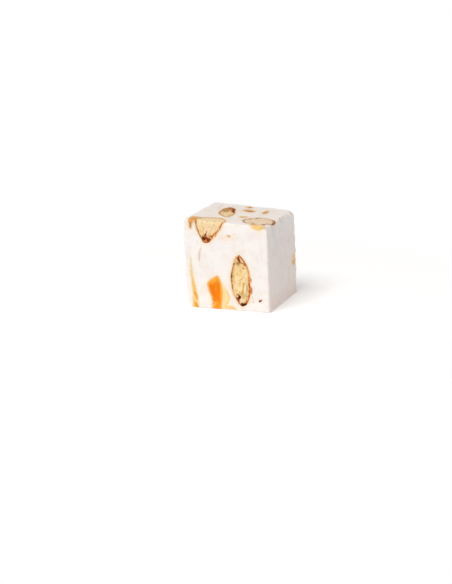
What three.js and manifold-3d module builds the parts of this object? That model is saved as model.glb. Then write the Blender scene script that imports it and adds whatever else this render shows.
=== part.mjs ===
// A cube of soft almond nougat, cut by knife from a slab.
//
// The white block is one uneven, round-edged solid. Almonds and pieces of candied orange
// peel are set in it, and the knife has cut through those at the faces, so each of them is
// a solid of its own that fills a pocket in the block and ends flush with its face.
//
// Millimetres, +Z up. The origin is the middle of the block's box on the face it rests on,
// and the front is -Y.

import * as THREE from "three";
import { mergeVertices } from "three/addons/utils/BufferGeometryUtils.js";
import Module from "manifold-3d";

const wasm = await Module();
wasm.setup();

// ---------------------------------------------------------------- driving dimensions

const BLOCK = {
  width: 35.1, // along X, at the foot
  depth: 33.7, // along Y
  height: 34.6, // along Z, in the middle of the top
  slant: 0.85, // how far the top of the right side stands inside its foot
  riseLeft: 0.65, // the top climbs this much from the middle to the left side
  riseBack: 0.05, // and this much from the middle to the back
  edge: 0.8, // radius of the knife-pressed edges
  softCorner: 1.6, // extra radius at the top, right, back corner
  tuck: 1.9, // how far the foot of the left side is drawn in
  tuckHeight: 5.5, // and the height over which that fades
  wave: 0.12, // unevenness of the cut faces
  waveLengths: [13, 17, 22], // along X, Y and Z
  flatFoot: 2.0, // height over which the unevenness fades towards the flat foot
  cells: 14, // mesh cells along each side
  crowding: 2.1, // above 1 the cells crowd towards the edges
};

const GAP = 0.3; // play between a piece and the pocket it sits in
const OVERSHOOT = 2.2; // a piece starts this far outside the face that cuts it

// An almond kernel: a flattened drop, blunt at one end and pointed at the other.
// `tip` is the direction of its point, `flat` the direction of its thickness.
const KERNEL = {
  around: 14, // mesh cells around the kernel
  along: 12, // and from end to end
  blunt: 0.5, // how full the broad end is: 0.5 is as round as an ellipse
  point: 0.8, // how sharp the tip is
  swell: 0.03, // unevenness of its flanks, as a share of their radius
};

const ALMONDS = {
  almond_corner: {
    at: [-7.0, -14.9, 35.4], tip: [-0.17, -0.24, -0.96], flat: [0, 1, 0],
    size: [19.6, 13.2, 10.8],
  },
  almond_front: {
    at: [5.8, -16.9, 12.0], tip: [-0.06, 0, 1], flat: [1, 0, 0], size: [20.4, 11.6, 8.4],
    blunt: 0.68,
  },
  almond_top_left: {
    at: [-5.95, 1.2, 34.7], tip: [0.27, -0.96, 0], flat: [1, 0.3, 0.1], size: [18.0, 10.6, 6.5],
    blunt: 0.6,
  },
  almond_top_right: {
    at: [10.7, -8.6, 34.3], tip: [0.98, 0.16, 0], flat: [0, 0.1, 1], size: [13.2, 12.0, 7.0],
    blunt: 0.62, point: 0.66,
  },
  almond_left: {
    at: [-17.4, 3.6, 18.4], tip: [0, 0.3, 0.95], flat: [1, 0, 0], size: [21.6, 12.6, 8.6],
  },
  almond_back_round: {
    at: [6.4, 16.6, 23.4], tip: [0.24, -1, 0.16], flat: [-0.4, 0, 0.9], size: [21.0, 12.0, 8.4],
  },
  almond_back_foot: {
    at: [10.6, 17.4, 1.0], tip: [-0.6, -0.8, 0.12], flat: [0.1, 0, 1], size: [20.0, 11.2, 8.2],
  },
  almond_back_sliver: {
    at: [-9.6, 16.8, 23.6], tip: [0.42, 0, 0.9], flat: [0.4, 1, 0], size: [11.0, 4.2, 3.2],
    blunt: 0.7,
  },
  almond_foot: {
    at: [-5.4, 5.0, 0.2], tip: [0.84, 0.54, 0], flat: [0, 0, 1], size: [18.4, 11.4, 8.0],
  },
};

// Candied peel: each piece is the outline its cut leaves on a face, carried `deep` into the
// block. An outline is a closed smooth curve through a few points, seen by someone who faces
// that face: across to the right and up, from the middle of the foot, or on the top and the
// foot from the middle. `round` is the radius of the piece's inner rim.
const PEELS = {
  peel_front: {
    face: "front", deep: 4.2, round: 0.8, tone: "bright", points: 24,
    outline: [[-4.1, 13.25], [-5.4, 12.5], [-7.2, 11.2], [-8.05, 9.8], [-7.5, 7.6], [-6.6, 5.2],
      [-6.1, 3.2], [-5.9, -1.5], [-2.75, -1.5], [-2.3, 1.6], [-1.85, 5.4], [-1.95, 8.2],
      [-2.5, 10.8], [-3.2, 12.5]],
  },
  peel_streak: {
    face: "front", deep: 1.8, round: 0.1, tone: "honey", points: 20,
    outline: [[-15.0, 19.8], [-15.15, 15.4], [-14.85, 12.4], [-14.45, 9.0], [-14.2, 5.6],
      [-14.15, 2.6], [-14.0, -1.5], [-11.7, -1.5], [-12.2, 2.2], [-12.3, 4.4], [-12.85, 6.9],
      [-13.55, 10.2], [-14.15, 12.9], [-14.6, 16.2]],
  },
  peel_corner: {
    face: "front", deep: 5.4, round: 0.1, tone: "amber", points: 20,
    outline: [[-16.2, 37.0], [-15.7, 35.3], [-15.25, 33.6], [-15.05, 31.9], [-14.55, 31.9],
      [-14.25, 33.3], [-13.5, 34.3], [-11.7, 34.7], [-11.0, 37.0]],
  },
  peel_under_almond: {
    face: "front", deep: 1.3, round: 0.25, tone: "honey", points: 16,
    outline: [[10.2, 34.6], [11.0, 33.4], [13.1, 32.6], [15.1, 33.4], [15.9, 34.4], [15.4, 36.5],
      [10.7, 36.5]],
  },
  peel_top_back: {
    face: "top", deep: 1.6, round: 0.3, tone: "amber", points: 12,
    outline: [[-2.4, 13.4], [-1.2, 11.8], [0.0, 13.6], [-1.6, 15.0]],
  },
  peel_top_leaf: {
    face: "top", deep: 2.4, round: 0.4, tone: "amber", points: 16,
    outline: [[-1.9, 7.6], [0.0, 5.7], [2.1, 5.3], [3.6, 7.1], [1.6, 9.3], [-0.4, 9.4]],
  },
  peel_top_strip: {
    face: "top", deep: 2.0, round: 0.25, tone: "amber", points: 14,
    outline: [[8.0, 3.6], [9.0, 5.2], [8.7, 7.8], [8.0, 10.0], [7.1, 8.8], [6.9, 6.0]],
  },
  peel_top_middle: {
    face: "top", deep: 1.6, round: 0.3, tone: "honey", points: 12,
    outline: [[0.6, -3.9], [2.4, -5.3], [4.3, -3.7], [3.2, -2.2], [1.8, -2.2]],
  },
  peel_right_edge: {
    face: "right", deep: 2.6, round: 0.5, tone: "honey", points: 14,
    outline: [[19.0, 16.4], [14.0, 17.0], [11.6, 16.3], [11.2, 14.3], [12.6, 12.6], [19.0, 11.8]],
  },
  peel_left_foot: {
    face: "left", deep: 3.2, round: 0.6, tone: "amber", points: 18,
    outline: [[4.9, 4.6], [8.0, 3.4], [11.8, 4.8], [10.9, 8.2], [8.6, 10.4], [6.3, 8.4]],
  },
  peel_left_leaf: {
    face: "left", deep: 1.8, round: 0.3, tone: "bright", points: 14,
    outline: [[-13.6, 27.0], [-11.6, 27.2], [-8.8, 29.9], [-9.4, 30.9], [-11.9, 30.0]],
  },
  peel_back_crescent: {
    face: "back", deep: 3.6, round: 0.7, tone: "amber", points: 26,
    outline: [[-0.6, 6.8], [1.6, 10.6], [5.4, 12.6], [9.6, 11.4], [12.6, 7.6], [12.9, 3.6],
      [11.4, 2.9], [9.8, 5.6], [6.6, 8.0], [3.2, 6.9], [0.8, 5.6]],
  },
  peel_back_speck: {
    face: "back", deep: 1.6, round: 0.3, tone: "bright", points: 12,
    outline: [[0.4, 29.2], [1.9, 28.1], [2.9, 29.6], [1.9, 31.0]],
  },
  peel_foot: {
    face: "bottom", deep: 2.2, round: 0.4, tone: "bright", points: 16,
    outline: [[6.4, 5.6], [9.0, 4.0], [12.0, 5.4], [11.2, 8.2], [8.2, 8.6]],
  },
};

const FACES = {
  front: { across: [1, 0, 0], up: [0, 0, 1], origin: [0, -BLOCK.depth / 2, 0] },
  back: { across: [-1, 0, 0], up: [0, 0, 1], origin: [0, BLOCK.depth / 2, 0] },
  left: { across: [0, -1, 0], up: [0, 0, 1], origin: [-BLOCK.width / 2, 0, 0] },
  right: { across: [0, 1, 0], up: [0, 0, 1], origin: [BLOCK.width / 2, 0, 0] },
  top: { across: [1, 0, 0], up: [0, 1, 0], origin: [0, 0, BLOCK.height] },
  bottom: { across: [1, 0, 0], up: [0, -1, 0], origin: [0, 0, 0] },
};

const finish = (color, roughness) =>
  new THREE.MeshStandardMaterial({ color, roughness, metalness: 0 });

const MATERIALS = {
  nougat: finish("#f8f3ec", 0.75),
  kernel: finish("#ecd5a4", 0.6),
  bright: finish("#f58a16", 0.4),
  honey: finish("#f2a83a", 0.4),
  amber: finish("#c06a22", 0.4),
};

// ---------------------------------------------------------------- mesh and solid helpers

/** Moves every vertex of a geometry by a function that changes the point it is given. */
function reshape(geometry, change) {
  const places = geometry.attributes.position;
  const point = new THREE.Vector3();
  for (let i = 0; i < places.count; i += 1) {
    change(point.fromBufferAttribute(places, i));
    places.setXYZ(i, point.x, point.y, point.z);
  }
  return geometry;
}

/** A closed three.js geometry as a solid that can be joined and cut. */
function toSolid(geometry) {
  const bare = geometry.clone();
  bare.deleteAttribute("normal");
  bare.deleteAttribute("uv");
  const { attributes, index } = mergeVertices(bare, 1e-4);
  return new wasm.Manifold(new wasm.Mesh({
    numProp: 3,
    vertProperties: new Float32Array(attributes.position.array),
    triVerts: new Uint32Array(index.array),
  }));
}

/** The largest body of a solid, without scraps that a cut has left loose. */
function mainBody(solid) {
  const bodies = solid.decompose();
  return bodies.reduce((best, body) => (body.volume() > best.volume() ? body : best));
}

/** A solid as a named mesh with its material. */
function toMesh(name, solid, material) {
  const { vertProperties, triVerts } = solid.getMesh();
  const geometry = new THREE.BufferGeometry();
  geometry.setAttribute("position", new THREE.BufferAttribute(vertProperties, 3));
  geometry.setIndex(new THREE.BufferAttribute(triVerts, 1));
  geometry.computeVertexNormals();
  const mesh = new THREE.Mesh(geometry, material);
  mesh.name = name;
  return mesh;
}

// ---------------------------------------------------------------- the nougat block

/** Pulls a coordinate from -1 to 1 towards the nearer end, so that cells crowd at edges. */
function crowd(t) {
  return Math.sign(t) * (1 - (1 - Math.abs(t)) ** BLOCK.crowding);
}

/** How far the knife wandered from a flat cut, at a point of the surface. */
function unevenness({ x, y, z }) {
  const [a, b, c] = BLOCK.waveLengths.map((length) => (2 * Math.PI) / length);
  const across = Math.sin(a * x + 0.7) * Math.sin(c * z + 1.9);
  const along = Math.sin(b * y + 0.4) * Math.cos(a * z + 0.6);
  return BLOCK.wave * (across + along);
}

/** Takes a point on the surface of a cube from -1 to 1 to its place on the block. */
function ontoBlock(point) {
  const half = new THREE.Vector3(BLOCK.width, BLOCK.depth, BLOCK.height).multiplyScalar(0.5);
  point.set(crowd(point.x), crowd(point.y), crowd(point.z));
  const corner = ((1 + point.x) * (1 + point.y) * (1 + point.z)) / 8;
  const radius = BLOCK.edge + BLOCK.softCorner * corner ** 2;

  point.multiply(half);
  const core = half.clone().subScalar(radius);
  const inner = point.clone().clamp(core.clone().negate(), core);
  const outward = point.clone().sub(inner).normalize();
  point.copy(inner).addScaledVector(outward, radius);

  const side = point.x / half.x;
  const far = point.y / half.y;
  const level = point.z / BLOCK.height + 0.5;
  point.z = level * (BLOCK.height - BLOCK.riseLeft * side + BLOCK.riseBack * far);
  point.x -= BLOCK.slant * level * (0.5 + 0.5 * side);
  point.x += BLOCK.tuck * Math.exp(-point.z / BLOCK.tuckHeight) * Math.max(0, -side) ** 3;

  const push = unevenness(point);
  const rest = Math.min(1, point.z / BLOCK.flatFoot);
  point.addScaledVector(outward.setZ(outward.z * rest), push);
}

function blockSolid() {
  const { cells } = BLOCK;
  return toSolid(reshape(new THREE.BoxGeometry(2, 2, 2, cells, cells, cells), ontoBlock));
}

// ---------------------------------------------------------------- almonds

/** The kernel's half-width at `s`, from -1 at the broad end to 1 at the tip, at most 1. */
function kernelProfile(s, blunt, point) {
  const peak = (blunt - point) / (blunt + point);
  const shape = (at) => (1 + at) ** blunt * (1 - at) ** point;
  return shape(s) / shape(peak);
}

/** One almond kernel, `grow` larger all round. */
function almondSolid({ at, tip, flat, size, blunt, point }, grow) {
  const radii = size.map((length) => length / 2 + grow);
  const geometry = new THREE.SphereGeometry(1, KERNEL.around, KERNEL.along);
  geometry.rotateZ(-Math.PI / 2);
  reshape(geometry, (p) => {
    const s = THREE.MathUtils.clamp(p.x, -1, 1);
    const ring = Math.sqrt(1 - s * s);
    const full = kernelProfile(s, blunt ?? KERNEL.blunt, point ?? KERNEL.point);
    const turn = Math.atan2(p.z, p.y);
    const swell = 1 + KERNEL.swell * Math.sin(3 * turn + 4 * s);
    const reach = ring > 1e-6 ? (full / ring) * swell : 0;
    p.set(s * radii[0], p.y * reach * radii[1], p.z * reach * radii[2]);
  });

  const long = new THREE.Vector3(...tip).normalize();
  const thin = new THREE.Vector3(...flat);
  thin.addScaledVector(long, -thin.dot(long)).normalize();
  const wide = new THREE.Vector3().crossVectors(thin, long);
  const place = new THREE.Matrix4().makeBasis(long, wide, thin).setPosition(...at);
  return toSolid(geometry.applyMatrix4(place));
}

// ---------------------------------------------------------------- candied peel

/** One piece of peel, `grow` larger all round. */
function peelSolid({ face, deep, round, points, outline }, grow) {
  const knots = outline.map(([across, up]) => new THREE.Vector3(across, up, 0));
  const curve = new THREE.CatmullRomCurve3(knots, true, "catmullrom");
  const rim = curve.getPoints(points).slice(0, -1);
  const geometry = new THREE.ExtrudeGeometry(new THREE.Shape(rim), {
    depth: deep + grow + OVERSHOOT - 2 * round,
    steps: 1,
    bevelEnabled: true,
    bevelThickness: round,
    bevelSize: round,
    bevelOffset: grow - round,
    bevelSegments: 2,
  });
  geometry.translate(0, 0, round - deep - grow);

  const across = new THREE.Vector3(...FACES[face].across);
  const up = new THREE.Vector3(...FACES[face].up);
  const outward = new THREE.Vector3().crossVectors(across, up);
  const place = new THREE.Matrix4().makeBasis(across, up, outward);
  place.setPosition(...FACES[face].origin);
  return toSolid(geometry.applyMatrix4(place));
}

// ---------------------------------------------------------------- the cut cube

/** Cuts every piece flush with the block, and its pocket out of the block. */
function cutCube() {
  const whole = blockSolid();
  const kinds = [
    ...Object.entries(ALMONDS).map(([name, size]) => [name, almondSolid, size, "kernel"]),
    ...Object.entries(PEELS).map(([name, size]) => [name, peelSolid, size, size.tone]),
  ];

  const meshes = [];
  let block = whole;
  for (const [name, make, size, finishName] of kinds) {
    // A pocket that is cut already keeps its room: what comes later only fills the block.
    const piece = mainBody(make(size, 0).intersect(block));
    block = block.subtract(make(size, GAP));
    meshes.push(toMesh(name, piece, MATERIALS[finishName]));
  }
  meshes.unshift(toMesh("nougat_body", mainBody(block), MATERIALS.nougat));
  return meshes;
}

/** Moves the meshes so that the block's box is centred over the origin. */
function centre(meshes) {
  const middle = new THREE.Box3().setFromObject(meshes[0]).getCenter(new THREE.Vector3());
  for (const mesh of meshes) {
    mesh.geometry.translate(-middle.x, -middle.y, 0);
  }
}

const nougatCube = new THREE.Group();
const meshes = cutCube();
centre(meshes);
nougatCube.add(...meshes);

export default nougatCube;
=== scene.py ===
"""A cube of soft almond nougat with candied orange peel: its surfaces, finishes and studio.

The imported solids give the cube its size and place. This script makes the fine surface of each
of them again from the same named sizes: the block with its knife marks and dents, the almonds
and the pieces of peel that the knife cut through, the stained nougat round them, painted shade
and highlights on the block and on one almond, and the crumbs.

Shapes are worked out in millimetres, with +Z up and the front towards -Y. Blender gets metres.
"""

import logging
import math
from collections.abc import Callable
from dataclasses import dataclass, field
from enum import Enum
from typing import ClassVar

import bmesh
import bpy
import numpy as np
from bpy.types import Camera, Light, Material, Mesh, Node, NodeTree, Object
from mathutils import Matrix, Vector, noise
from mathutils.bvhtree import BVHTree

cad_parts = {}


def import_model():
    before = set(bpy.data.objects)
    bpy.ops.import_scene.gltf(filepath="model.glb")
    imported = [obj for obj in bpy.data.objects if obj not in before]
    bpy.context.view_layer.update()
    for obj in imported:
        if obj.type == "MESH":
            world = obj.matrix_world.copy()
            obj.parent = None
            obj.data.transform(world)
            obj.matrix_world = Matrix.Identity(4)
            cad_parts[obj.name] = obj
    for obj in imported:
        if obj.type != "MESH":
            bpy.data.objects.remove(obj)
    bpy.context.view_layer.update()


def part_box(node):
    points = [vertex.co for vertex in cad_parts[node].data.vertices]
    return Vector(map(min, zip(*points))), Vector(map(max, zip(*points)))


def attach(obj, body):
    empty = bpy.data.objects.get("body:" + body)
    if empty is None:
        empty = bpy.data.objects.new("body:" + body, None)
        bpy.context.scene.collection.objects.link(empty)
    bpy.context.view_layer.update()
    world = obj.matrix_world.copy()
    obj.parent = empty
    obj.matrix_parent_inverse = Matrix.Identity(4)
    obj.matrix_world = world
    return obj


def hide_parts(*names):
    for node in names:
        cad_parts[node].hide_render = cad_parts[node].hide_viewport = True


LOG = logging.getLogger("nougat")

MM = 0.001  # one millimetre in metres
OVERSHOOT = 2.2  # mm that a piece starts outside the face that cuts it
BELOW_SKIN = 0.02  # mm below a piece's own skin where its cut flesh begins
CUT_CELL = 0.2  # mm, the edge length that the mesh of a cut is refined to
BLOCK_CREASE, CUT_CREASE, CRUMB_CREASE = 38, 42, 60  # degrees from where an edge stays sharp
SEED = 11  # of the random draws and the ripples

Points = np.ndarray  # one row of three numbers for each point, in millimetres
Values = np.ndarray  # one number for each point
Colours = np.ndarray  # one row of linear red, green, blue and 1 for each point


# ------------------------------------------------------------------ helpers


def srgb(hex_code: str) -> tuple[float, float, float, float]:
    """Turns an sRGB hex colour into linear values.

    Args:
        hex_code: Six hex digits, with or without a leading #.

    Returns:
        Red, green, blue and an alpha of 1.
    """
    digits = hex_code.lstrip("#")
    parts = [int(digits[i : i + 2], 16) / 255 for i in (0, 2, 4)]
    linear = [p / 12.92 if p <= 0.04045 else ((p + 0.055) / 1.055) ** 2.4 for p in parts]
    return (*linear, 1.0)


def smoothstep(low: float, high: float, values: Values) -> Values:
    """Rises smoothly from 0 at `low` to 1 at `high`; `low` may be the larger of the two.

    Args:
        low: Where the result is 0.
        high: Where the result is 1.
        values: The numbers to look up.

    Returns:
        One number from 0 to 1 for each value.
    """
    t = np.clip((values - low) / (high - low), 0, 1)
    return t * t * (3 - 2 * t)


def ripple(points: Points, spacing: tuple[float, float, float], seed: float) -> Values:
    """Smooth noise over the surface.

    Args:
        points: Where to look it up.
        spacing: Millimetres from one swell to the next along X, Y and Z.
        seed: Any number; another one gives another pattern.

    Returns:
        A value of about -1 to 1 for each point.
    """
    scaled = points / np.asarray(spacing) + seed
    return np.array([noise.noise(p) for p in scaled.tolist()])


def mixed(colours: Colours, hex_code: str, share: Values) -> Colours:
    """Colours with another one laid over them.

    Args:
        colours: The colours below.
        hex_code: The colour on top, as sRGB hex.
        share: How much of it shows at each point, from 0 to 1.

    Returns:
        The new colours.
    """
    return colours + (np.array(srgb(hex_code)) - colours) * share[:, None]


def smooth_path(knots: Points, steps: int, closed: bool) -> Points:
    """A Catmull-Rom curve through knots of any number of columns.

    Args:
        knots: One row for each knot.
        steps: Points to each stretch between two knots.
        closed: Whether the last knot joins the first.

    Returns:
        The points along the curve, one row each.
    """
    knots = np.asarray(knots, float)
    if not closed:
        before = 2 * knots[0] - knots[1]
        after = 2 * knots[-1] - knots[-2]
        knots = np.vstack([before, knots, after])
    count = len(knots)
    first, stretches = (0, count) if closed else (1, count - 3)
    curve = []
    for i in range(first, first + stretches):
        a, b, c, d = (knots[(i + k) % count] for k in (-1, 0, 1, 2))
        t = (np.arange(steps) / steps)[:, None]
        out = 0.5 * (c - a)
        into = 0.5 * (d - b)
        curve.append(
            b
            + out * t
            + (3 * (c - b) - 2 * out - into) * t**2
            + (2 * (b - c) + out + into) * t**3
        )
    if not closed:
        curve.append(knots[-2][None])
    return np.vstack(curve)


def put_in_scene(name: str, data: Mesh | Light | Camera) -> Object:
    """Makes an object and puts it in the scene.

    Args:
        name: The object's name.
        data: The mesh, light or camera that it holds.

    Returns:
        The new object.
    """
    made = bpy.data.objects.new(name, data)
    bpy.context.scene.collection.objects.link(made)
    return made


def make_object(name: str, points: Points, faces: list) -> Object:
    """Makes a mesh object.

    Args:
        name: The object's name.
        points: Its points, in millimetres.
        faces: The numbers of each face's corners.

    Returns:
        The new object.
    """
    mesh = bpy.data.meshes.new(name)
    mesh.from_pydata((points * MM).tolist(), [], faces)
    mesh.update()
    return put_in_scene(name, mesh)


def finish_shape(name: str, shape: bmesh.types.BMesh) -> Object:
    """Makes an object of a shape in metres, and frees the shape.

    Args:
        name: The object's name.
        shape: The finished shape.

    Returns:
        The new object.
    """
    mesh = bpy.data.meshes.new(name)
    shape.to_mesh(mesh)
    shape.free()
    return put_in_scene(name, mesh)


def points_of(mesh: Mesh) -> Points:
    """A mesh's points.

    Args:
        mesh: The mesh, in metres.

    Returns:
        The points, in millimetres.
    """
    flat = np.empty(len(mesh.vertices) * 3, np.float32)
    mesh.vertices.foreach_get("co", flat)
    return flat.reshape(-1, 3).astype(float) / MM


def normals_of(mesh: Mesh) -> Points:
    """The directions that a mesh faces.

    Args:
        mesh: The mesh.

    Returns:
        One direction for each of its points.
    """
    flat = np.empty(len(mesh.vertices) * 3, np.float32)
    mesh.vertex_normals.foreach_get("vector", flat)
    return flat.reshape(-1, 3).astype(float)


def set_points(mesh: Mesh, points: Points) -> None:
    """Moves a mesh's points to these places, in millimetres."""
    mesh.vertices.foreach_set("co", (points * MM).astype(np.float32).ravel())
    mesh.update()


def store(mesh: Mesh, name: str, values: np.ndarray) -> None:
    """Keeps values on a mesh's points, for its finish to read.

    Args:
        mesh: The mesh that carries them.
        name: The attribute's name.
        values: One number, one vector of three or one colour of four for each point.
    """
    width = 1 if values.ndim == 1 else values.shape[1]
    kinds = {1: ("FLOAT", "value"), 3: ("FLOAT_VECTOR", "vector"), 4: ("FLOAT_COLOR", "color")}
    kind, key = kinds[width]
    layer = mesh.attributes.new(name, kind, "POINT")
    layer.data.foreach_set(key, values.astype(np.float32).ravel())


def boolean(target: Object, tool: Object, operation: str) -> None:
    """Cuts a closed mesh by another one.

    Args:
        target: The object that is changed.
        tool: The object that cuts; it is left as it is.
        operation: DIFFERENCE or INTERSECT.
    """
    modifier = target.modifiers.new("cut", "BOOLEAN")
    modifier.operation = operation
    modifier.solver = "MANIFOLD"
    modifier.object = tool
    graph = bpy.context.evaluated_depsgraph_get()
    result = bpy.data.meshes.new_from_object(target.evaluated_get(graph))
    target.modifiers.clear()
    spent = target.data
    target.data = result
    result.name = target.name
    bpy.data.meshes.remove(spent)


def keep_largest(target: Object) -> None:
    """Drops every loose scrap of a mesh but its largest body.

    Args:
        target: The object whose mesh is changed.
    """
    shape = bmesh.new()
    shape.from_mesh(target.data)
    unseen = set(shape.verts)
    bodies = []
    while unseen:
        front = [unseen.pop()]
        body = list(front)
        while front:
            near = {e.other_vert(v) for v in front for e in v.link_edges} & unseen
            unseen -= near
            front = list(near)
            body += front
        bodies.append(body)
    bodies.sort(key=len)
    scraps = [v for body in bodies[:-1] for v in body]
    if scraps:
        bmesh.ops.delete(shape, geom=scraps, context="VERTS")
        shape.to_mesh(target.data)
    shape.free()


def unfold(shape: bmesh.types.BMesh) -> None:
    """Drops both of each two triangles that lie back to back on the same three points.

    They arise where two many-sided faces that share a point on a straight edge are split up.

    Args:
        shape: The shape, all triangles, which is changed.
    """
    first = {}
    folded = set()
    for face in shape.faces:
        twin = first.setdefault(frozenset(face.verts), face)
        if twin is not face:
            folded |= {face, twin}
    if folded:
        bmesh.ops.delete(shape, geom=list(folded), context="FACES")


def refine(
    mesh: Mesh, depths: Callable[[Points], Values], longest: float, rounds: int = 3
) -> None:
    """Splits the edges of a cut face until none is longer than a given length.

    Args:
        mesh: The mesh, which is changed.
        depths: Gives how deep points lie below the piece's own skin: 0 off the cut face.
        longest: The length, in mm.
        rounds: How often the edges are halved at most.
    """
    shape = bmesh.new()
    shape.from_mesh(mesh)
    bmesh.ops.triangulate(shape, faces=shape.faces)
    unfold(shape)
    for _ in range(rounds):
        shape.verts.index_update()
        places = np.array([v.co for v in shape.verts]) / MM
        inside = depths(places) > BELOW_SKIN
        long = [
            e
            for e in shape.edges
            if e.calc_length() > longest * MM
            and (inside[e.verts[0].index] or inside[e.verts[1].index])
        ]
        if not long:
            break
        bmesh.ops.subdivide_edges(shape, edges=long, cuts=1)
        bmesh.ops.triangulate(shape, faces=[f for f in shape.faces if len(f.verts) > 3])
        unfold(shape)
    shape.to_mesh(mesh)
    shape.free()
    mesh.update()


def discard(*objects: Object) -> None:
    """Removes objects that only served to cut.

    Args:
        objects: The objects, which go with their meshes.
    """
    for spent in objects:
        mesh = spent.data
        bpy.data.objects.remove(spent)
        bpy.data.meshes.remove(mesh)


def shade(target: Object, crease: float) -> None:
    """Smooths a mesh's shading, with a crease where faces meet at more than that many degrees."""
    target.data.shade_smooth()
    target.data.set_sharp_from_angle(angle=math.radians(crease))


def add(tree: NodeTree, kind: str, settings: dict | None = None, links: dict | None = None) -> Node:
    """Adds a node with its settings and links.

    Args:
        tree: The tree that gets the node.
        kind: The node's type.
        settings: Values by the name of a property, or by the name or number of a socket.
        links: Output sockets, by the name or number of the input that each feeds.

    Returns:
        The new node.
    """
    made = tree.nodes.new(kind)
    for key, value in (settings or {}).items():
        if isinstance(key, str) and hasattr(made, key):
            setattr(made, key, value)
        else:
            made.inputs[key].default_value = value
    for key, source in (links or {}).items():
        tree.links.new(source, made.inputs[key])
    return made


# ------------------------------------------------------------------ faces and strokes


class Face(Enum):
    """The six faces: the directions to the right and up, as seen by someone who faces it."""

    FRONT = ((1, 0, 0), (0, 0, 1))
    BACK = ((-1, 0, 0), (0, 0, 1))
    LEFT = ((0, -1, 0), (0, 0, 1))
    RIGHT = ((0, 1, 0), (0, 0, 1))
    TOP = ((1, 0, 0), (0, 1, 0))
    BOTTOM = ((1, 0, 0), (0, -1, 0))

    @property
    def across(self) -> np.ndarray:
        """The direction to the right."""
        return np.array(self.value[0], float)

    @property
    def up(self) -> np.ndarray:
        """The direction up along the face."""
        return np.array(self.value[1], float)

    @property
    def outward(self) -> np.ndarray:
        """The direction that the face looks to."""
        return np.cross(self.across, self.up)

    def flat(self, points: Points) -> tuple[Points, Values]:
        """Splits points into their places along the face and how far out they lie."""
        along = np.stack([points @ self.across, points @ self.up], -1)
        return along, points @ self.outward


@dataclass(frozen=True)
class Stroke:
    """A mark along a smooth path over a face: a stained patch, a groove, a spot, or painted light
    or shade.

    Attributes:
        FACING: The least cosine between its face and a surface that it still marks.
        WANDER: How far its rim wanders, in mm, and from one swell to the next.
        STEPS: Points to each stretch of its path.
        face: The face that it is on.
        path: Places across and up the face, each with the mark's width there, all in mm.
        soft: How far its rim fades, in mm.
        strength: How strongly it shows, from 0 to 1.
        tint: Its colour, as sRGB hex.
        dent: How deep it is sunk, in mm; a ridge is negative.
        skin: In an almond's rim, the thickness of the skin there, in mm.
    """

    FACING: ClassVar[float] = 0.3
    WANDER: ClassVar[tuple[float, float]] = (0.12, 0.6)
    STEPS: ClassVar[int] = 12

    face: Face
    path: tuple[tuple[float, float, float], ...]
    soft: float
    strength: float
    tint: str
    dent: float = 0.0
    skin: float | None = None

    def cover(self, points: Points, normals: Points, spread: float = 0.0) -> Values:
        """How much of the mark lies on each point.

        Args:
            points: Points of a surface.
            normals: The directions that the surface faces there.
            spread: How much further its rim fades, in mm.

        Returns:
            1 in the middle of the mark, 0 off it, for each point.
        """
        cover = np.zeros(len(points))
        knots = np.array(self.path, float)
        soft = self.soft + spread
        reach = knots[:, 2].max() / 2 + soft
        along, _ = self.face.flat(points)
        near = (normals @ self.face.outward) > self.FACING
        near &= (along > knots[:, :2].min(axis=0) - 2 * reach).all(axis=1)
        near &= (along < knots[:, :2].max(axis=0) + 2 * reach).all(axis=1)
        if not near.any():
            return cover
        trail = smooth_path(knots, self.STEPS, closed=False) if len(knots) > 1 else knots
        places = along[near]
        wander, spacing = self.WANDER
        for axis in (0, 1):
            places[:, axis] += wander * ripple(points[near], (spacing,) * 3, SEED + 40 + axis)
        apart = np.linalg.norm(places[:, None, :] - trail[None, :, :2], axis=2)
        beyond = (apart - trail[None, :, 2] / 2).min(axis=1)
        cover[near] = smoothstep(soft, -soft, beyond)
        return cover

    @property
    def dark(self) -> bool:
        """Whether it is dark enough for oil to have stained the flesh around it."""
        return srgb(self.tint)[1] < 0.2


@dataclass(frozen=True)
class Bump:
    """A lump or, with a negative height, a hollow or a chip, in mm."""

    at: tuple[float, float, float]
    radius: float
    height: float

    def lift(self, points: Points) -> Values:
        """How far it pushes each point outwards."""
        apart = np.linalg.norm(points - np.array(self.at), axis=1) / self.radius
        return self.height * np.exp(-(apart**2))


# ------------------------------------------------------------------ the nougat block


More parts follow.
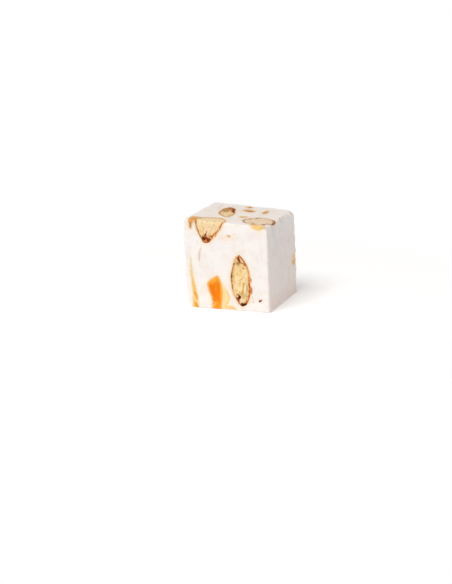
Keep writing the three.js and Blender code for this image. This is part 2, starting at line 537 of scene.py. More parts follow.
@dataclass
class Block:
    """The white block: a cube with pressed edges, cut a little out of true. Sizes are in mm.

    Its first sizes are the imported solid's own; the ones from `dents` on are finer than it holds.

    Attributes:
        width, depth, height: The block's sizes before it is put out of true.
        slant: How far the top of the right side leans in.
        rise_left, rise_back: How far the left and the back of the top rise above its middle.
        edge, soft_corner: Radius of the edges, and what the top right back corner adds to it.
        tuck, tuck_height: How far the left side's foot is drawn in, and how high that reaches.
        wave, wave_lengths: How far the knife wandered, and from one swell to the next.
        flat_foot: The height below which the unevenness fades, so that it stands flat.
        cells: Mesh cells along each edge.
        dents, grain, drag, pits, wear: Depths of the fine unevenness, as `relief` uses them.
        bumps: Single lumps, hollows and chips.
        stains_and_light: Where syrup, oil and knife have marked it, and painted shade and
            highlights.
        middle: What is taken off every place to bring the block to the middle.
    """

    width: float = 35.1
    depth: float = 33.7
    height: float = 34.6
    slant: float = 0.85
    rise_left: float = 0.65
    rise_back: float = 0.05
    edge: float = 0.8
    soft_corner: float = 1.6
    tuck: float = 1.9
    tuck_height: float = 5.5
    wave: float = 0.12
    wave_lengths: tuple[float, float, float] = (13, 17, 22)
    flat_foot: float = 2.0
    cells: int = 116
    dents: float = 0.10
    grain: float = 0.035
    drag: float = 0.05
    pits: float = 0.22
    wear: float = 0.32
    bumps: tuple[Bump, ...] = ()
    stains_and_light: tuple[Stroke, ...] = ()
    middle: np.ndarray = field(default_factory=lambda: np.zeros(3))

    def origin(self, face: Face) -> np.ndarray:
        """The point of a face that its outlines are measured from.

        Args:
            face: The face.

        Returns:
            The point, in mm.
        """
        if face is Face.TOP:
            return np.array([0, 0, self.height])
        half = np.array([self.width, self.depth, 0]) / 2
        return face.outward * half * (face is not Face.BOTTOM)

    def lattice(self) -> tuple[np.ndarray, np.ndarray]:
        """Splits a cube's surface into squares.

        Returns:
            The corner points, from -1 to 1 along each axis, and four corner numbers a square.
        """
        steps = np.arange(self.cells + 1)
        a, b = np.meshgrid(steps, steps, indexing="ij")
        sheets, quads = [], []
        for axis in range(3):
            for end in (0, self.cells):
                sheet = np.empty((*a.shape, 3), int)
                sheet[..., axis] = end
                sheet[..., (axis + 1) % 3] = a
                sheet[..., (axis + 2) % 3] = b
                number = np.arange(a.size).reshape(a.shape) + a.size * len(sheets)
                ring = (number[:-1, :-1], number[1:, :-1], number[1:, 1:], number[:-1, 1:])
                quad = np.stack(ring, -1).reshape(-1, 4)
                quads.append(quad if end else quad[:, ::-1])
                sheets.append(sheet.reshape(-1, 3))
        corners, back = np.unique(np.vstack(sheets), axis=0, return_inverse=True)
        return corners / self.cells * 2 - 1, back.ravel()[np.vstack(quads)]

    def unevenness(self, points: Points) -> Values:
        """How far the knife wandered from a flat cut.

        Args:
            points: Points of the block.

        Returns:
            Millimetres outwards for each of them.
        """
        a, b, c = (2 * math.pi / length for length in self.wave_lengths)
        x, y, z = points.T
        across = np.sin(a * x + 0.7) * np.sin(c * z + 1.9)
        along = np.sin(b * y + 0.4) * np.cos(a * z + 0.6)
        return self.wave * (across + along)

    def place(self, unit: Points) -> tuple[Points, Points]:
        """Takes points of a cube from -1 to 1 to the block.

        Args:
            unit: The points on the cube.

        Returns:
            Their places on the block, and the directions it faces there.
        """
        half = np.array([self.width, self.depth, self.height]) / 2
        corner = np.prod(1 + unit, axis=1, keepdims=True) / 8
        radius = self.edge + self.soft_corner * corner**2
        point = unit * half
        core = half - radius
        inner = np.clip(point, -core, core)
        outward = point - inner
        outward /= np.linalg.norm(outward, axis=1, keepdims=True)
        point = inner + outward * radius

        side, far = point[:, 0] / half[0], point[:, 1] / half[1]
        level = point[:, 2] / self.height + 0.5
        point[:, 2] = level * (self.height - self.rise_left * side + self.rise_back * far)
        point[:, 0] -= self.slant * level * (0.5 + 0.5 * side)
        tuck = self.tuck * np.exp(-point[:, 2] / self.tuck_height)
        point[:, 0] += tuck * np.maximum(0, -side) ** 3

        push = outward * self.unevenness(point)[:, None]
        push[:, 2] *= np.minimum(1, point[:, 2] / self.flat_foot)
        return point + push, outward

    def relief(self, points: Points, outward: Points) -> Values:
        """The fine unevenness: dents, grain, the drag of the knife, pits, worn edges, lumps.

        Args:
            points: Points of the block.
            outward: The directions it faces there.

        Returns:
            Millimetres outwards for each of them.
        """
        upright = 1 - np.abs(outward[:, 2])
        edge = smoothstep(0, 0.25, 1 - np.abs(outward).max(axis=1))
        height = self.dents * ripple(points, (6.5, 6.5, 6.5), SEED)
        height += 0.5 * self.dents * ripple(points, (2.4, 2.4, 3.0), SEED + 1)
        height += self.grain * ripple(points, (0.8, 0.8, 1.0), SEED + 2)
        height += self.drag * upright * ripple(points, (0.75, 0.75, 14), SEED + 3)
        pores = ripple(points, (1.5, 1.5, 1.5), SEED + 4)
        height -= self.pits * smoothstep(0.5, 0.8, pores)
        chips = ripple(points, (1.9, 1.9, 1.9), SEED + 5)
        height -= self.wear * edge * smoothstep(0.0, 0.7, chips)
        for bump in self.bumps:
            height += bump.lift(points)
        for stain_and_light in self.stains_and_light:
            if stain_and_light.dent:
                height -= stain_and_light.dent * stain_and_light.cover(points, outward)
        return height * smoothstep(0, self.flat_foot, points[:, 2])

    def build(self) -> Object:
        """Makes the whole block, before anything is set in it.

        Returns:
            The block as a closed mesh.
        """
        unit, quads = self.lattice()
        points, outward = self.place(unit)
        self.middle = (points.min(axis=0) + points.max(axis=0)) / 2 * (1, 1, 0)
        points += outward * self.relief(points, outward)[:, None]
        return make_object("nougat_block", points, quads.tolist())


# ------------------------------------------------------------------ almonds


@dataclass(frozen=True)
class Almond:
    """A cut almond: a flattened drop, blunt at one end and pointed at the other.

    Attributes:
        at: The kernel's middle.
        tip: The direction of its point.
        flat: The direction of its thickness.
        size: Length, width and thickness.
        blunt: How full the broad end is: 0.5 is as round as an ellipse.
        point: How sharp the tip is.
        skin: Thickness of the brown skin.
        caps: How far the dark skin reaches from the tip and from the broad end.
        flesh: The cut flesh, as sRGB hex.
        husk: The skin's colour, as sRGB hex.
        marks: Grooves, holes, spots, changes of the skin in the cut, and painted highlights.
        bumps: Where the kernel bulges or falls in.
        sunk: How far the cut flesh has shrunk below the nougat.
        swell: How far from round it is, as a share of its radius.
        oiled: The flesh next to the skin, as sRGB hex.
        singed: The flesh round dark marks, as sRGB hex.
        play: The gap between the kernel and its pocket.
    """

    at: tuple[float, float, float]
    tip: tuple[float, float, float]
    flat: tuple[float, float, float]
    size: tuple[float, float, float]
    blunt: float = 0.5
    point: float = 0.8
    skin: float = 0.34
    caps: tuple[float, float] = (1.0, 0.7)
    flesh: str = "#f6d6a6"
    husk: str = "#8a4a22"
    marks: tuple[Stroke, ...] = ()
    bumps: tuple[Bump, ...] = ()
    sunk: float = 0.1
    swell: float = 0.03
    oiled: str = "#cf985a"
    singed: str = "#c8762c"
    play: float = 0.006

    def axes(self) -> np.ndarray:
        """The kernel's own directions.

        Returns:
            Its long, wide and thin directions, one row each.
        """
        long = Vector(self.tip).normalized()
        thin = Vector(self.flat)
        thin = (thin - long * thin.dot(long)).normalized()
        return np.array([long, thin.cross(long), thin])

    def profile(self, s: Values) -> Values:
        """The half-width along the kernel.

        Args:
            s: Places along it, from -1 at the broad end to 1 at the tip.

        Returns:
            The half-width at each, as a share of the largest.
        """
        peak = (self.blunt - self.point) / (self.blunt + self.point)
        most = (1 + peak) ** self.blunt * (1 - peak) ** self.point
        return (1 + s) ** self.blunt * (1 - s) ** self.point / most

    def shift(self, points: Points) -> Points:
        """How far the bulges and hollows move points of the kernel.

        Args:
            points: Points of the kernel.

        Returns:
            The move of each, in mm.
        """
        outward = points - np.array(self.at)
        outward /= np.maximum(np.linalg.norm(outward, axis=1, keepdims=True), 1e-6)
        lift = sum((bump.lift(points) for bump in self.bumps), np.zeros(len(points)))
        return outward * lift[:, None]

    def solid(self, name: str, grow: float, around: int = 72, along: int = 64) -> Object:
        """Makes the whole kernel.

        Args:
            name: The object's name.
            grow: How much larger it is all round, in mm.
            around: Mesh cells around the kernel.
            along: Mesh cells from end to end.

        Returns:
            The kernel as a closed mesh.
        """
        radii = np.array(self.size) / 2 + grow
        s = -np.cos(np.linspace(0, math.pi, along + 1))[1:-1, None]
        turn = np.linspace(0, 2 * math.pi, around, endpoint=False)[None]
        reach = self.profile(s) * (1 + self.swell * np.sin(3 * turn + 4 * s))
        rings = np.stack([s + 0 * turn, reach * np.cos(turn), reach * np.sin(turn)], -1)
        ends = np.array([[-1.0, 0, 0], [1.0, 0, 0]])
        local = np.vstack([rings.reshape(-1, 3), ends]) * radii
        rows = np.arange((along - 1) * around).reshape(along - 1, around)
        nexts = np.roll(rows, -1, axis=1)
        quads = np.stack([rows[:-1], nexts[:-1], nexts[1:], rows[1:]], -1).reshape(-1, 4)
        broad, tip = len(local) - 2, len(local) - 1
        faces = quads.tolist()
        faces += [[broad, b, a] for a, b in zip(rows[0].tolist(), nexts[0].tolist())]
        faces += [[tip, a, b] for a, b in zip(rows[-1].tolist(), nexts[-1].tolist())]
        points = local @ self.axes() + np.array(self.at)
        return make_object(name, points + self.shift(points), faces)

    def measure(self, points: Points) -> dict[str, np.ndarray]:
        """Where points lie in the kernel.

        Args:
            points: Points in or on it, or near it.

        Returns:
            depth: mm below the skin's outer face, negative outside.
            grain: the place along the fibres, which run together at both ends.
            cap: 1 at the ends, falling to 0 where the dark caps stop.
        """
        radii = np.array(self.size) / 2
        local = (points - self.shift(points) - np.array(self.at)) @ self.axes().T
        s = np.clip(local[:, 0] / radii[0], -0.999, 0.999)
        past = np.abs(local[:, 0] - s * radii[0])
        y, z = local[:, 1] / radii[1], local[:, 2] / radii[2]
        off = np.maximum(np.hypot(y, z), 1e-4)
        full = self.profile(s) * (1 + self.swell * np.sin(3 * np.arctan2(z, y) + 4 * s))
        radius = np.hypot(local[:, 1], local[:, 2]) / off
        step = 1e-3
        slope = (self.profile(s + step / 2) - self.profile(s - step / 2)) / step
        lean = np.hypot(1, slope * radius / radii[0])
        inside = (full - off) * radius / lean
        outside = -np.hypot(np.maximum(off - full, 0) * radius, past)
        depth = np.where((off > full) | (past > 0.01), outside, inside)
        fan = self.profile(s) + 0.12
        grain = np.stack([local[:, 0], y / fan, z / fan], -1)
        ends = np.stack([(1 - s) / self.caps[0], (1 + s) / self.caps[1]], -1) * radii[0]
        return {"depth": depth, "grain": grain, "cap": np.clip(1 - ends.min(axis=1), 0, 1)}

    def dress(self, piece: Object) -> None:
        """Sinks the cut flesh, works its marks in, and stores what its finish reads.

        Args:
            piece: The cut kernel, which is changed.
        """
        mesh = piece.data
        refine(mesh, lambda points: self.measure(points)["depth"], CUT_CELL)
        points, normals = points_of(mesh), normals_of(mesh)
        facts = self.measure(points)
        cut = smoothstep(BELOW_SKIN, 0.4, facts["depth"])
        fall = self.sunk * cut * (1 + 0.8 * ripple(points, (1.6, 1.6, 2.2), SEED + 20))
        flesh = np.tile(srgb(self.flesh), (len(points), 1))
        husk = np.tile(srgb(self.husk), (len(points), 1))
        skin = np.full(len(points), self.skin)
        for mark in self.marks:
            if mark.skin is not None:
                cover = mark.cover(points, normals)
                husk = mixed(husk, mark.tint, cover * mark.strength)
                skin += (mark.skin - skin) * cover
        inside = np.maximum(0, facts["depth"] - skin)
        flesh = mixed(flesh, self.oiled, 0.55 * np.exp(-inside / 0.4))
        for mark in self.marks:
            if mark.skin is None:
                cover = mark.cover(points, normals)
                if mark.dark:
                    flesh = mixed(flesh, self.singed, 0.6 * mark.cover(points, normals, 0.3))
                flesh = mixed(flesh, mark.tint, cover * mark.strength)
                fall += mark.dent * cover * cut
        points -= normals * fall[:, None]
        points[:, 2] = np.maximum(points[:, 2], 0)  # nothing sinks into the floor
        set_points(mesh, points)
        stored = {**facts, "dye_and_light": flesh, "husk": husk, "skin": skin}
        for name in ("depth", "grain", "cap", "dye_and_light", "husk", "skin"):
            store(mesh, name, stored[name])


# ------------------------------------------------------------------ candied peel


class Tone(Enum):
    """How dark the sugar has turned a piece: its rim, its flesh and its core, as sRGB hex."""

    BRIGHT = ("#fcc474", "#f8a028", "#f08800")
    HONEY = ("#fbdba2", "#f8ca74", "#f0b450")
    AMBER = ("#ecc38c", "#dea565", "#c98a42")


@dataclass(frozen=True)
class Peel:
    """A piece of candied peel: the outline of its cut on a face, carried into the block.

    Attributes:
        face: The face that cuts it.
        deep: How far it runs into the block, in mm.
        tone: How dark it is.
        outline: Places across and up the face that its closed smooth rim runs through, in mm.
        marks: Changes of colour in the cut.
        halo: How far its syrup has bled into the nougat, in mm.
        sunk: How far the cut has shrunk below the nougat, in mm.
        play: The gap between the piece and its pocket, in mm.
    """

    face: Face
    deep: float
    tone: Tone
    outline: tuple[tuple[float, float], ...]
    marks: tuple[Stroke, ...] = ()
    halo: float = 0.45
    sunk: float = 0.1
    play: float = 0.006

    def rim(self) -> Points:
        """The smooth outline, as places across and up the face."""
        return smooth_path(self.outline, 10, closed=True)

    def beyond(self, along: Points) -> Values:
        """How far places lie outside the outline.

        Args:
            along: Places across and up the face.

        Returns:
            Millimetres for each of them, negative inside the outline.
        """
        start = self.rim()
        end = np.roll(start, -1, axis=0)
        edge = end - start
        reach = along[:, None, :] - start[None]
        share = np.clip((reach * edge).sum(2) / (edge**2).sum(1), 0, 1)
        apart = np.linalg.norm(reach - share[..., None] * edge, axis=2).min(axis=1)
        low, high = start[None, :, 1], end[None, :, 1]
        height = along[:, None, 1]
        spans = (low > height) != (high > height)
        rise = np.where(high == low, 1e-9, high - low)
        cross = start[None, :, 0] + (height - low) / rise * edge[None, :, 0]
        inside = (spans & (along[:, None, 0] < cross)).sum(axis=1) % 2 == 1
        return np.where(inside, -apart, apart)

    def depth(self, points: Points, block: Block) -> Values:
        """How far points lie inside the piece, negative outside it, in mm."""
        along, out = self.face.flat(points - block.origin(self.face))
        return np.minimum(-self.beyond(along), out + self.deep)

    def solid(self, name: str, grow: float, block: Block) -> Object:
        """Makes the whole piece, from inside the block to outside its face.

        Args:
            name: The object's name.
            grow: How much larger it is all round, in mm.
            block: The block that it sits in.

        Returns:
            The piece as a closed mesh.
        """
        rim = self.rim()
        ahead = np.roll(rim, -1, axis=0) - np.roll(rim, 1, axis=0)
        aside = np.stack([ahead[:, 1], -ahead[:, 0]], -1)
        aside /= np.linalg.norm(aside, axis=1, keepdims=True)
        area = (rim[:, 0] * np.roll(rim[:, 1], -1) - np.roll(rim[:, 0], -1) * rim[:, 1]).sum()
        if area < 0:
            rim, aside = rim[::-1], -aside[::-1]
        rim = rim + aside * grow
        levels = (-self.deep - grow, OVERSHOOT)
        origin = block.origin(self.face)
        flat = origin + rim[:, :1] * self.face.across + rim[:, 1:] * self.face.up
        rings = [flat + self.face.outward * level for level in levels]
        count = len(rim)
        faces = [[i, (i + 1) % count, (i + 1) % count + count, i + count] for i in range(count)]
        faces += [list(range(count))[::-1], list(range(count, 2 * count))]
        return make_object(name, np.vstack(rings), faces)

    def dress(self, piece: Object, block: Block) -> None:
        """Sinks the cut a little, and dyes the piece from its pale rim to its dark core.

        Args:
            piece: The cut piece, which is changed.
            block: The block that it sits in.
        """
        mesh = piece.data
        refine(mesh, lambda points: self.depth(points, block), CUT_CELL)
        points, normals = points_of(mesh), normals_of(mesh)
        depth = self.depth(points, block)
        cut = smoothstep(BELOW_SKIN, 0.5, depth)
        fall = self.sunk * cut * (1 + 0.9 * ripple(points, (1.3, 1.3, 1.6), SEED + 30))
        sway = 0.35 * ripple(points, (1.4, 1.4, 1.8), SEED + 31)
        rim, flesh, core = self.tone.value
        dye_and_light = np.tile(srgb(rim), (len(points), 1))
        dye_and_light = mixed(dye_and_light, flesh, smoothstep(0.0, 0.7, depth + sway))
        dye_and_light = mixed(dye_and_light, core, smoothstep(0.4, 1.5, depth + sway))
        for mark in self.marks:
            cover = mark.cover(points, normals)
            dye_and_light = mixed(dye_and_light, mark.tint, cover * mark.strength)
            fall += mark.dent * cover * cut
        set_points(mesh, points - normals * fall[:, None])
        store(mesh, "dye_and_light", dye_and_light)


# ------------------------------------------------------------------ crumbs


@dataclass(frozen=True)
class Crumb:
    """A flake or crumb pressed half into a face, in mm."""

    face: Face
    at: tuple[float, float]
    size: tuple[float, float]
    turn: float = 0.0


@dataclass
class Crumbs:
    """All crumbs of one kind, joined in one mesh."""

    name: str
    crumbs: tuple[Crumb, ...]
    thick: float = 0.22

    def build(self, block: Block, surface: BVHTree, rng: np.random.Generator) -> Object:
        """Makes the crumbs and beds each in the surface.

        Args:
            block: The block that they lie on.
            surface: The block's surface, in metres.
            rng: Gives each crumb its own uneven shape.

        Returns:
            One object of many small closed bodies.
        """
        shape = bmesh.new()
        for crumb in self.crumbs:
            face = crumb.face
            start = block.origin(face) + face.across * crumb.at[0] + face.up * crumb.at[1]
            hit, normal, _, _ = surface.ray_cast(
                Vector((start + face.outward * 5) * MM), Vector(-face.outward)
            )
            if hit is None:
                continue
            spin = Matrix.Rotation(math.radians(crumb.turn), 3, normal)
            long = (spin @ Vector(face.across)).normalized()
            wide = normal.cross(long).normalized()
            made = bmesh.ops.create_icosphere(shape, subdivisions=2, radius=1.0)
            for vertex in made["verts"]:
                x, y, z = vertex.co
                uneven = 1 + 0.35 * noise.noise(vertex.co * 1.7 + Vector((*crumb.at, 0)))
                uneven *= rng.uniform(0.93, 1.07)
                vertex.co = (
                    hit
                    + long * (x * uneven * crumb.size[0] / 2 * MM)
                    + wide * (y * uneven * crumb.size[1] / 2 * MM)
                    + normal * (z * uneven * self.thick / 2 * MM)
                )
        joined = finish_shape(self.name, shape)
        shade(joined, CRUMB_CREASE)
        return joined


# ------------------------------------------------------------------ finishes

A, B, RESULT = 6, 7, 2  # the colour sockets of a Mix node
MIX = {"data_type": "RGBA"}


def new_material(name: str) -> tuple[Material, NodeTree, Node]:
    """Starts a material.

    Args:
        name: The material's name.

    Returns:
        The material, its empty tree, and a shader that is linked to the output.
    """
    material = bpy.data.materials.new(name)
    material.use_nodes = True
    tree = material.node_tree
    tree.nodes.clear()
    shader = add(tree, "ShaderNodeBsdfPrincipled")
    add(tree, "ShaderNodeOutputMaterial", {}, {"Surface": shader.outputs["BSDF"]})
    return material, tree, shader


def set_sockets(shader: Node, values: dict) -> None:
    """Sets constants on a shader's own sockets."""
    for name, value in values.items():
        shader.inputs[name].default_value = value


@dataclass(frozen=True)
class NougatPaste:
    """Whipped honey, sugar and egg white, cut with a knife.

    Tiny air bubbles make it chalk white and matt, with light that sinks in about a
    millimetre; the knife leaves fine upright drag lines and closes most of the bubbles.
    """

    shadow: str = "#f9f5f3"
    cloud: float = 3.0  # mm from one darker patch to the next
    drag: float = 0.3  # mm from one drag line to the next, twice as coarse as it is
    bubble: float = 0.45  # mm from one closed bubble to the next

    def material(self) -> Material:
        """Makes the material.

        Returns:
            The material, ready for a piece.
        """
        material, tree, shader = new_material("nougat_paste")
        coords = add(tree, "ShaderNodeTexCoord").outputs["Object"]
        in_mm = add(tree, "ShaderNodeMapping", {"Scale": (1 / MM,) * 3}, {"Vector": coords})
        place = in_mm.outputs["Vector"]
        cloud = add(
            tree, "ShaderNodeTexNoise", {"Scale": 1 / self.cloud, "Detail": 4}, {"Vector": place}
        )
        patch = add(
            tree, "ShaderNodeMapRange",
            {"From Min": 0.45, "From Max": 0.7, "To Max": 0.8},
            {"Value": cloud.outputs[0]},
        )
        # the block's colour, painted shade and highlights included
        dye_and_light = add(tree, "ShaderNodeAttribute", {"attribute_name": "dye_and_light"})
        clouded = add(
            tree, "ShaderNodeMix",
            {**MIX, "blend_type": "MULTIPLY", B: srgb(self.shadow)},
            {0: patch.outputs[0], A: dye_and_light.outputs["Color"]},
        )
        tree.links.new(clouded.outputs[RESULT], shader.inputs["Base Color"])

        upright = add(
            tree, "ShaderNodeMapping",
            {"Scale": (1 / self.drag, 1 / self.drag, 0.05 / self.drag)},
            {"Vector": place},
        )
        lines = add(
            tree, "ShaderNodeTexNoise",
            {"Scale": 1.0, "Detail": 2},
            {"Vector": upright.outputs["Vector"]},
        )
        bubbles = add(
            tree, "ShaderNodeTexNoise",
            {"Scale": 1 / self.bubble, "Detail": 4, "Roughness": 0.6},
            {"Vector": place},
        )
        drawn = add(
            tree, "ShaderNodeBump",
            {"Strength": 0.9, "Distance": 0.06 * MM},
            {"Height": lines.outputs[0]},
        )
        worn = add(
            tree, "ShaderNodeBump",
            {"Strength": 0.7, "Distance": 0.05 * MM},
            {"Height": bubbles.outputs[0], "Normal": drawn.outputs["Normal"]},
        )
        tree.links.new(worn.outputs["Normal"], shader.inputs["Normal"])
        set_sockets(shader, {
            "Roughness": 0.62, "IOR": 1.45, "Specular IOR Level": 0.3, "Subsurface Weight": 0.6,
            "Subsurface Radius": (1.0, 0.85, 0.7), "Subsurface Scale": 0.7 * MM,
        })
        return material


@dataclass(frozen=True)
class AlmondFlesh:
    """A raw almond, cut across: oily cream flesh inside a thin brown papery skin.

    The flesh is matt with fine fibres that run from end to end; the skin shows as a broken
    dark line round the cut, widest at the two ends where the knife meets it at a slant.
    """

    grain_dark: str = "#e8cb98"
    cap_dark: str = "#c4936c"
    fibre: float = 7.0  # fibres across half a kernel
    beads: float = 0.9  # mm from one bead of the broken skin line to the next

    def material(self) -> Material:
        """Makes the material.

        Returns:
            The material, ready for a piece.
        """
        material, tree, shader = new_material("almond_flesh")
        depth = add(tree, "ShaderNodeAttribute", {"attribute_name": "depth"}).outputs["Fac"]
        grain = add(tree, "ShaderNodeAttribute", {"attribute_name": "grain"}).outputs["Vector"]
        cap = add(tree, "ShaderNodeAttribute", {"attribute_name": "cap"}).outputs["Fac"]
        # the flesh's colour, with a painted highlight on one almond
        dye_and_light = add(tree, "ShaderNodeAttribute", {"attribute_name": "dye_and_light"}).outputs["Color"]
        husk = add(tree, "ShaderNodeAttribute", {"attribute_name": "husk"}).outputs["Color"]
        skin = add(tree, "ShaderNodeAttribute", {"attribute_name": "skin"}).outputs["Fac"]
        coords = add(tree, "ShaderNodeTexCoord").outputs["Object"]

        drawn_out = add(
            tree, "ShaderNodeMapping",
            {"Scale": (0.4, self.fibre, self.fibre)},
            {"Vector": grain},
        )
        fibres = add(
            tree, "ShaderNodeTexNoise",
            {"Scale": 1.0, "Detail": 4},
            {"Vector": drawn_out.outputs["Vector"]},
        )
        dark_share = add(
            tree, "ShaderNodeMapRange",
            {"From Min": 0.5, "From Max": 0.7, "To Max": 0.9},
            {"Value": fibres.outputs[0]},
        )
        darker = add(
            tree, "ShaderNodeMix",
            {**MIX, "blend_type": "MULTIPLY", B: srgb(self.grain_dark)},
            {0: dark_share.outputs[0], A: dye_and_light},
        )
        mealy = add(
            tree, "ShaderNodeTexNoise",
            {"Scale": 1 / (0.7 * MM), "Detail": 4, "Roughness": 0.65},
            {"Vector": coords},
        )
        lightness = add(
            tree, "ShaderNodeMapRange",
            {"From Min": 0.3, "From Max": 0.7, "To Min": 0.96, "To Max": 1.06},
            {"Value": mealy.outputs[0]},
        )
        streaked = add(
            tree, "ShaderNodeVectorMath",
            {"operation": "SCALE"},
            {0: darker.outputs[RESULT], "Scale": lightness.outputs[0]},
        )

        beads = add(
            tree, "ShaderNodeTexNoise",
            {"Scale": 1 / (self.beads * MM), "Detail": 3},
            {"Vector": coords},
        )
        bead = add(
            tree, "ShaderNodeMapRange",
            {"From Min": 0.4, "From Max": 0.66, "To Min": 0.3, "To Max": 1.5},
            {"Value": beads.outputs[0]},
        )
        thick = add(
            tree, "ShaderNodeMath", {"operation": "MULTIPLY"}, {0: bead.outputs[0], 1: skin}
        )
        under = add(
            tree, "ShaderNodeMath", {"operation": "SUBTRACT"}, {0: thick.outputs[0], 1: depth}
        )
        line = add(
            tree, "ShaderNodeMapRange",
            {"From Min": -0.12, "From Max": 0.06},
            {"Value": under.outputs[0]},
        )
        ragged = add(tree, "ShaderNodeMath", {"operation": "ADD"}, {0: cap, 1: beads.outputs[0]})
        capped = add(
            tree, "ShaderNodeMapRange",
            {"From Min": 0.62, "From Max": 0.8},
            {"Value": ragged.outputs[0]},
        )
        at_cap = add(tree, "ShaderNodeMath", {"operation": "GREATER_THAN", 1: 0.001}, {0: cap})
        end = add(
            tree, "ShaderNodeMath",
            {"operation": "MULTIPLY"},
            {0: capped.outputs[0], 1: at_cap.outputs[0]},
        )
        mottle = add(
            tree, "ShaderNodeTexNoise", {"Scale": 1 / (0.5 * MM), "Detail": 3}, {"Vector": coords}
        )
        rust = add(
            tree, "ShaderNodeMapRange",
            {"From Min": 0.3, "From Max": 0.7, "To Min": 0.8, "To Max": 1.5},
            {"Value": mottle.outputs[0]},
        )
        papery = add(
            tree, "ShaderNodeVectorMath",
            {"operation": "SCALE"},
            {0: husk, "Scale": rust.outputs[0]},
        )
        dark_husk = add(
            tree, "ShaderNodeMix",
            {**MIX, "blend_type": "MULTIPLY", B: srgb(self.cap_dark)},
            {0: end.outputs[0], A: papery.outputs[0]},
        )
        brown = add(
            tree, "ShaderNodeMath",
            {"operation": "MAXIMUM"},
            {0: line.outputs[0], 1: end.outputs[0]},
        )
        finished = add(
            tree, "ShaderNodeMix",
            MIX,
            {0: brown.outputs[0], A: streaked.outputs[0], B: dark_husk.outputs[RESULT]},
        )
        tree.links.new(finished.outputs[RESULT], shader.inputs["Base Color"])

        ridges = add(
            tree, "ShaderNodeBump",
            {"Strength": 0.7, "Distance": 0.07 * MM},
            {"Height": fibres.outputs[0]},
        )
        crumbly = add(
            tree, "ShaderNodeBump",
            {"Strength": 0.8, "Distance": 0.08 * MM},
            {"Height": mealy.outputs[0], "Normal": ridges.outputs["Normal"]},
        )
        wrinkled = add(
            tree, "ShaderNodeBump",
            {"Strength": 0.7, "Distance": 0.08 * MM},
            {"Height": brown.outputs[0], "Normal": crumbly.outputs["Normal"]},
        )
        tree.links.new(wrinkled.outputs["Normal"], shader.inputs["Normal"])
        set_sockets(shader, {
            "Roughness": 0.55, "IOR": 1.47, "Specular IOR Level": 0.12, "Subsurface Weight": 0.15,
            "Subsurface Radius": (1.0, 0.6, 0.3), "Subsurface Scale": 0.3 * MM,
        })
        return material


@dataclass(frozen=True)
class CandiedPeel:
    """Orange peel boiled in syrup until it is clear.

    Light passes some way in, so the core glows darker than the thin sugared rim, and the
    moist cut has a soft shine.
    """

    tone: Tone
    gland: float = 0.8  # mm across one oil gland

    def material(self) -> Material:
        """Makes the material.

        Returns:
            The material, ready for a piece.
        """
        material, tree, shader = new_material(f"candied_peel_{self.tone.name.lower()}")
        dye_and_light = add(tree, "ShaderNodeAttribute", {"attribute_name": "dye_and_light"}).outputs["Color"]
        coords = add(tree, "ShaderNodeTexCoord").outputs["Object"]
        glands = add(
            tree, "ShaderNodeTexVoronoi",
            {"Scale": 1 / (self.gland * MM)},
            {"Vector": coords},
        )
        clear = add(
            tree, "ShaderNodeMapRange",
            {"From Min": 0.0, "From Max": 0.3, "To Min": 0.3, "To Max": 0.0},
            {"Value": glands.outputs["Distance"]},
        )
        speckled = add(
            tree, "ShaderNodeMix",
            {**MIX, B: srgb(self.tone.value[0])},
            {0: clear.outputs[0], A: dye_and_light},
        )
        pulp_noise = add(
            tree, "ShaderNodeTexNoise", {"Scale": 1 / (0.6 * MM), "Detail": 3}, {"Vector": coords}
        )
        depth_share = add(
            tree, "ShaderNodeMapRange",
            {"From Min": 0.45, "From Max": 0.7, "To Max": 0.4},
            {"Value": pulp_noise.outputs[0]},
        )
        deep = add(
            tree, "ShaderNodeMix",
            {**MIX, "blend_type": "MULTIPLY", B: srgb(self.tone.value[1])},
            {0: depth_share.outputs[0], A: speckled.outputs[RESULT]},
        )
        tree.links.new(deep.outputs[RESULT], shader.inputs["Base Color"])
        pulp = add(
            tree, "ShaderNodeBump",
            {"Strength": 0.6, "Distance": 0.1 * MM},
            {"Height": pulp_noise.outputs[0]},
        )
        tree.links.new(pulp.outputs["Normal"], shader.inputs["Normal"])
        set_sockets(shader, {
            "Roughness": 0.36, "IOR": 1.46, "Specular IOR Level": 0.12, "Subsurface Weight": 0.35,
            "Subsurface Radius": (1.0, 0.6, 0.3), "Subsurface Scale": 0.5 * MM,
        })
        return material


@dataclass(frozen=True)
class PaperySkin:
    """Flakes of almond skin: thin, dry and matt, from rust to nearly black."""

    name: str
    dark: str
    light: str

    def material(self) -> Material:
        """Makes the material.

        Returns:
            The material, ready for a piece.
        """
        material, tree, shader = new_material(self.name)
        coords = add(tree, "ShaderNodeTexCoord").outputs["Object"]
        mottle = add(
            tree, "ShaderNodeTexNoise", {"Scale": 1 / (0.7 * MM), "Detail": 4}, {"Vector": coords}
        )
        share = add(
            tree, "ShaderNodeMapRange",
            {"From Min": 0.35, "From Max": 0.65},
            {"Value": mottle.outputs[0]},
        )
        colour = add(
            tree, "ShaderNodeMix",
            {**MIX, A: srgb(self.dark), B: srgb(self.light)},
            {0: share.outputs[0]},
        )
        tree.links.new(colour.outputs[RESULT], shader.inputs["Base Color"])
        creases = add(
            tree, "ShaderNodeBump",
            {"Strength": 0.6, "Distance": 0.08 * MM},
            {"Height": mottle.outputs[0]},
        )
        tree.links.new(creases.outputs["Normal"], shader.inputs["Normal"])
        set_sockets(shader, {"Roughness": 0.6, "IOR": 1.45, "Specular IOR Level": 0.1})
        return material


# ------------------------------------------------------------------ marks in the almonds

FRONT, BACK, LEFT, RIGHT, TOP, FOOT = Face

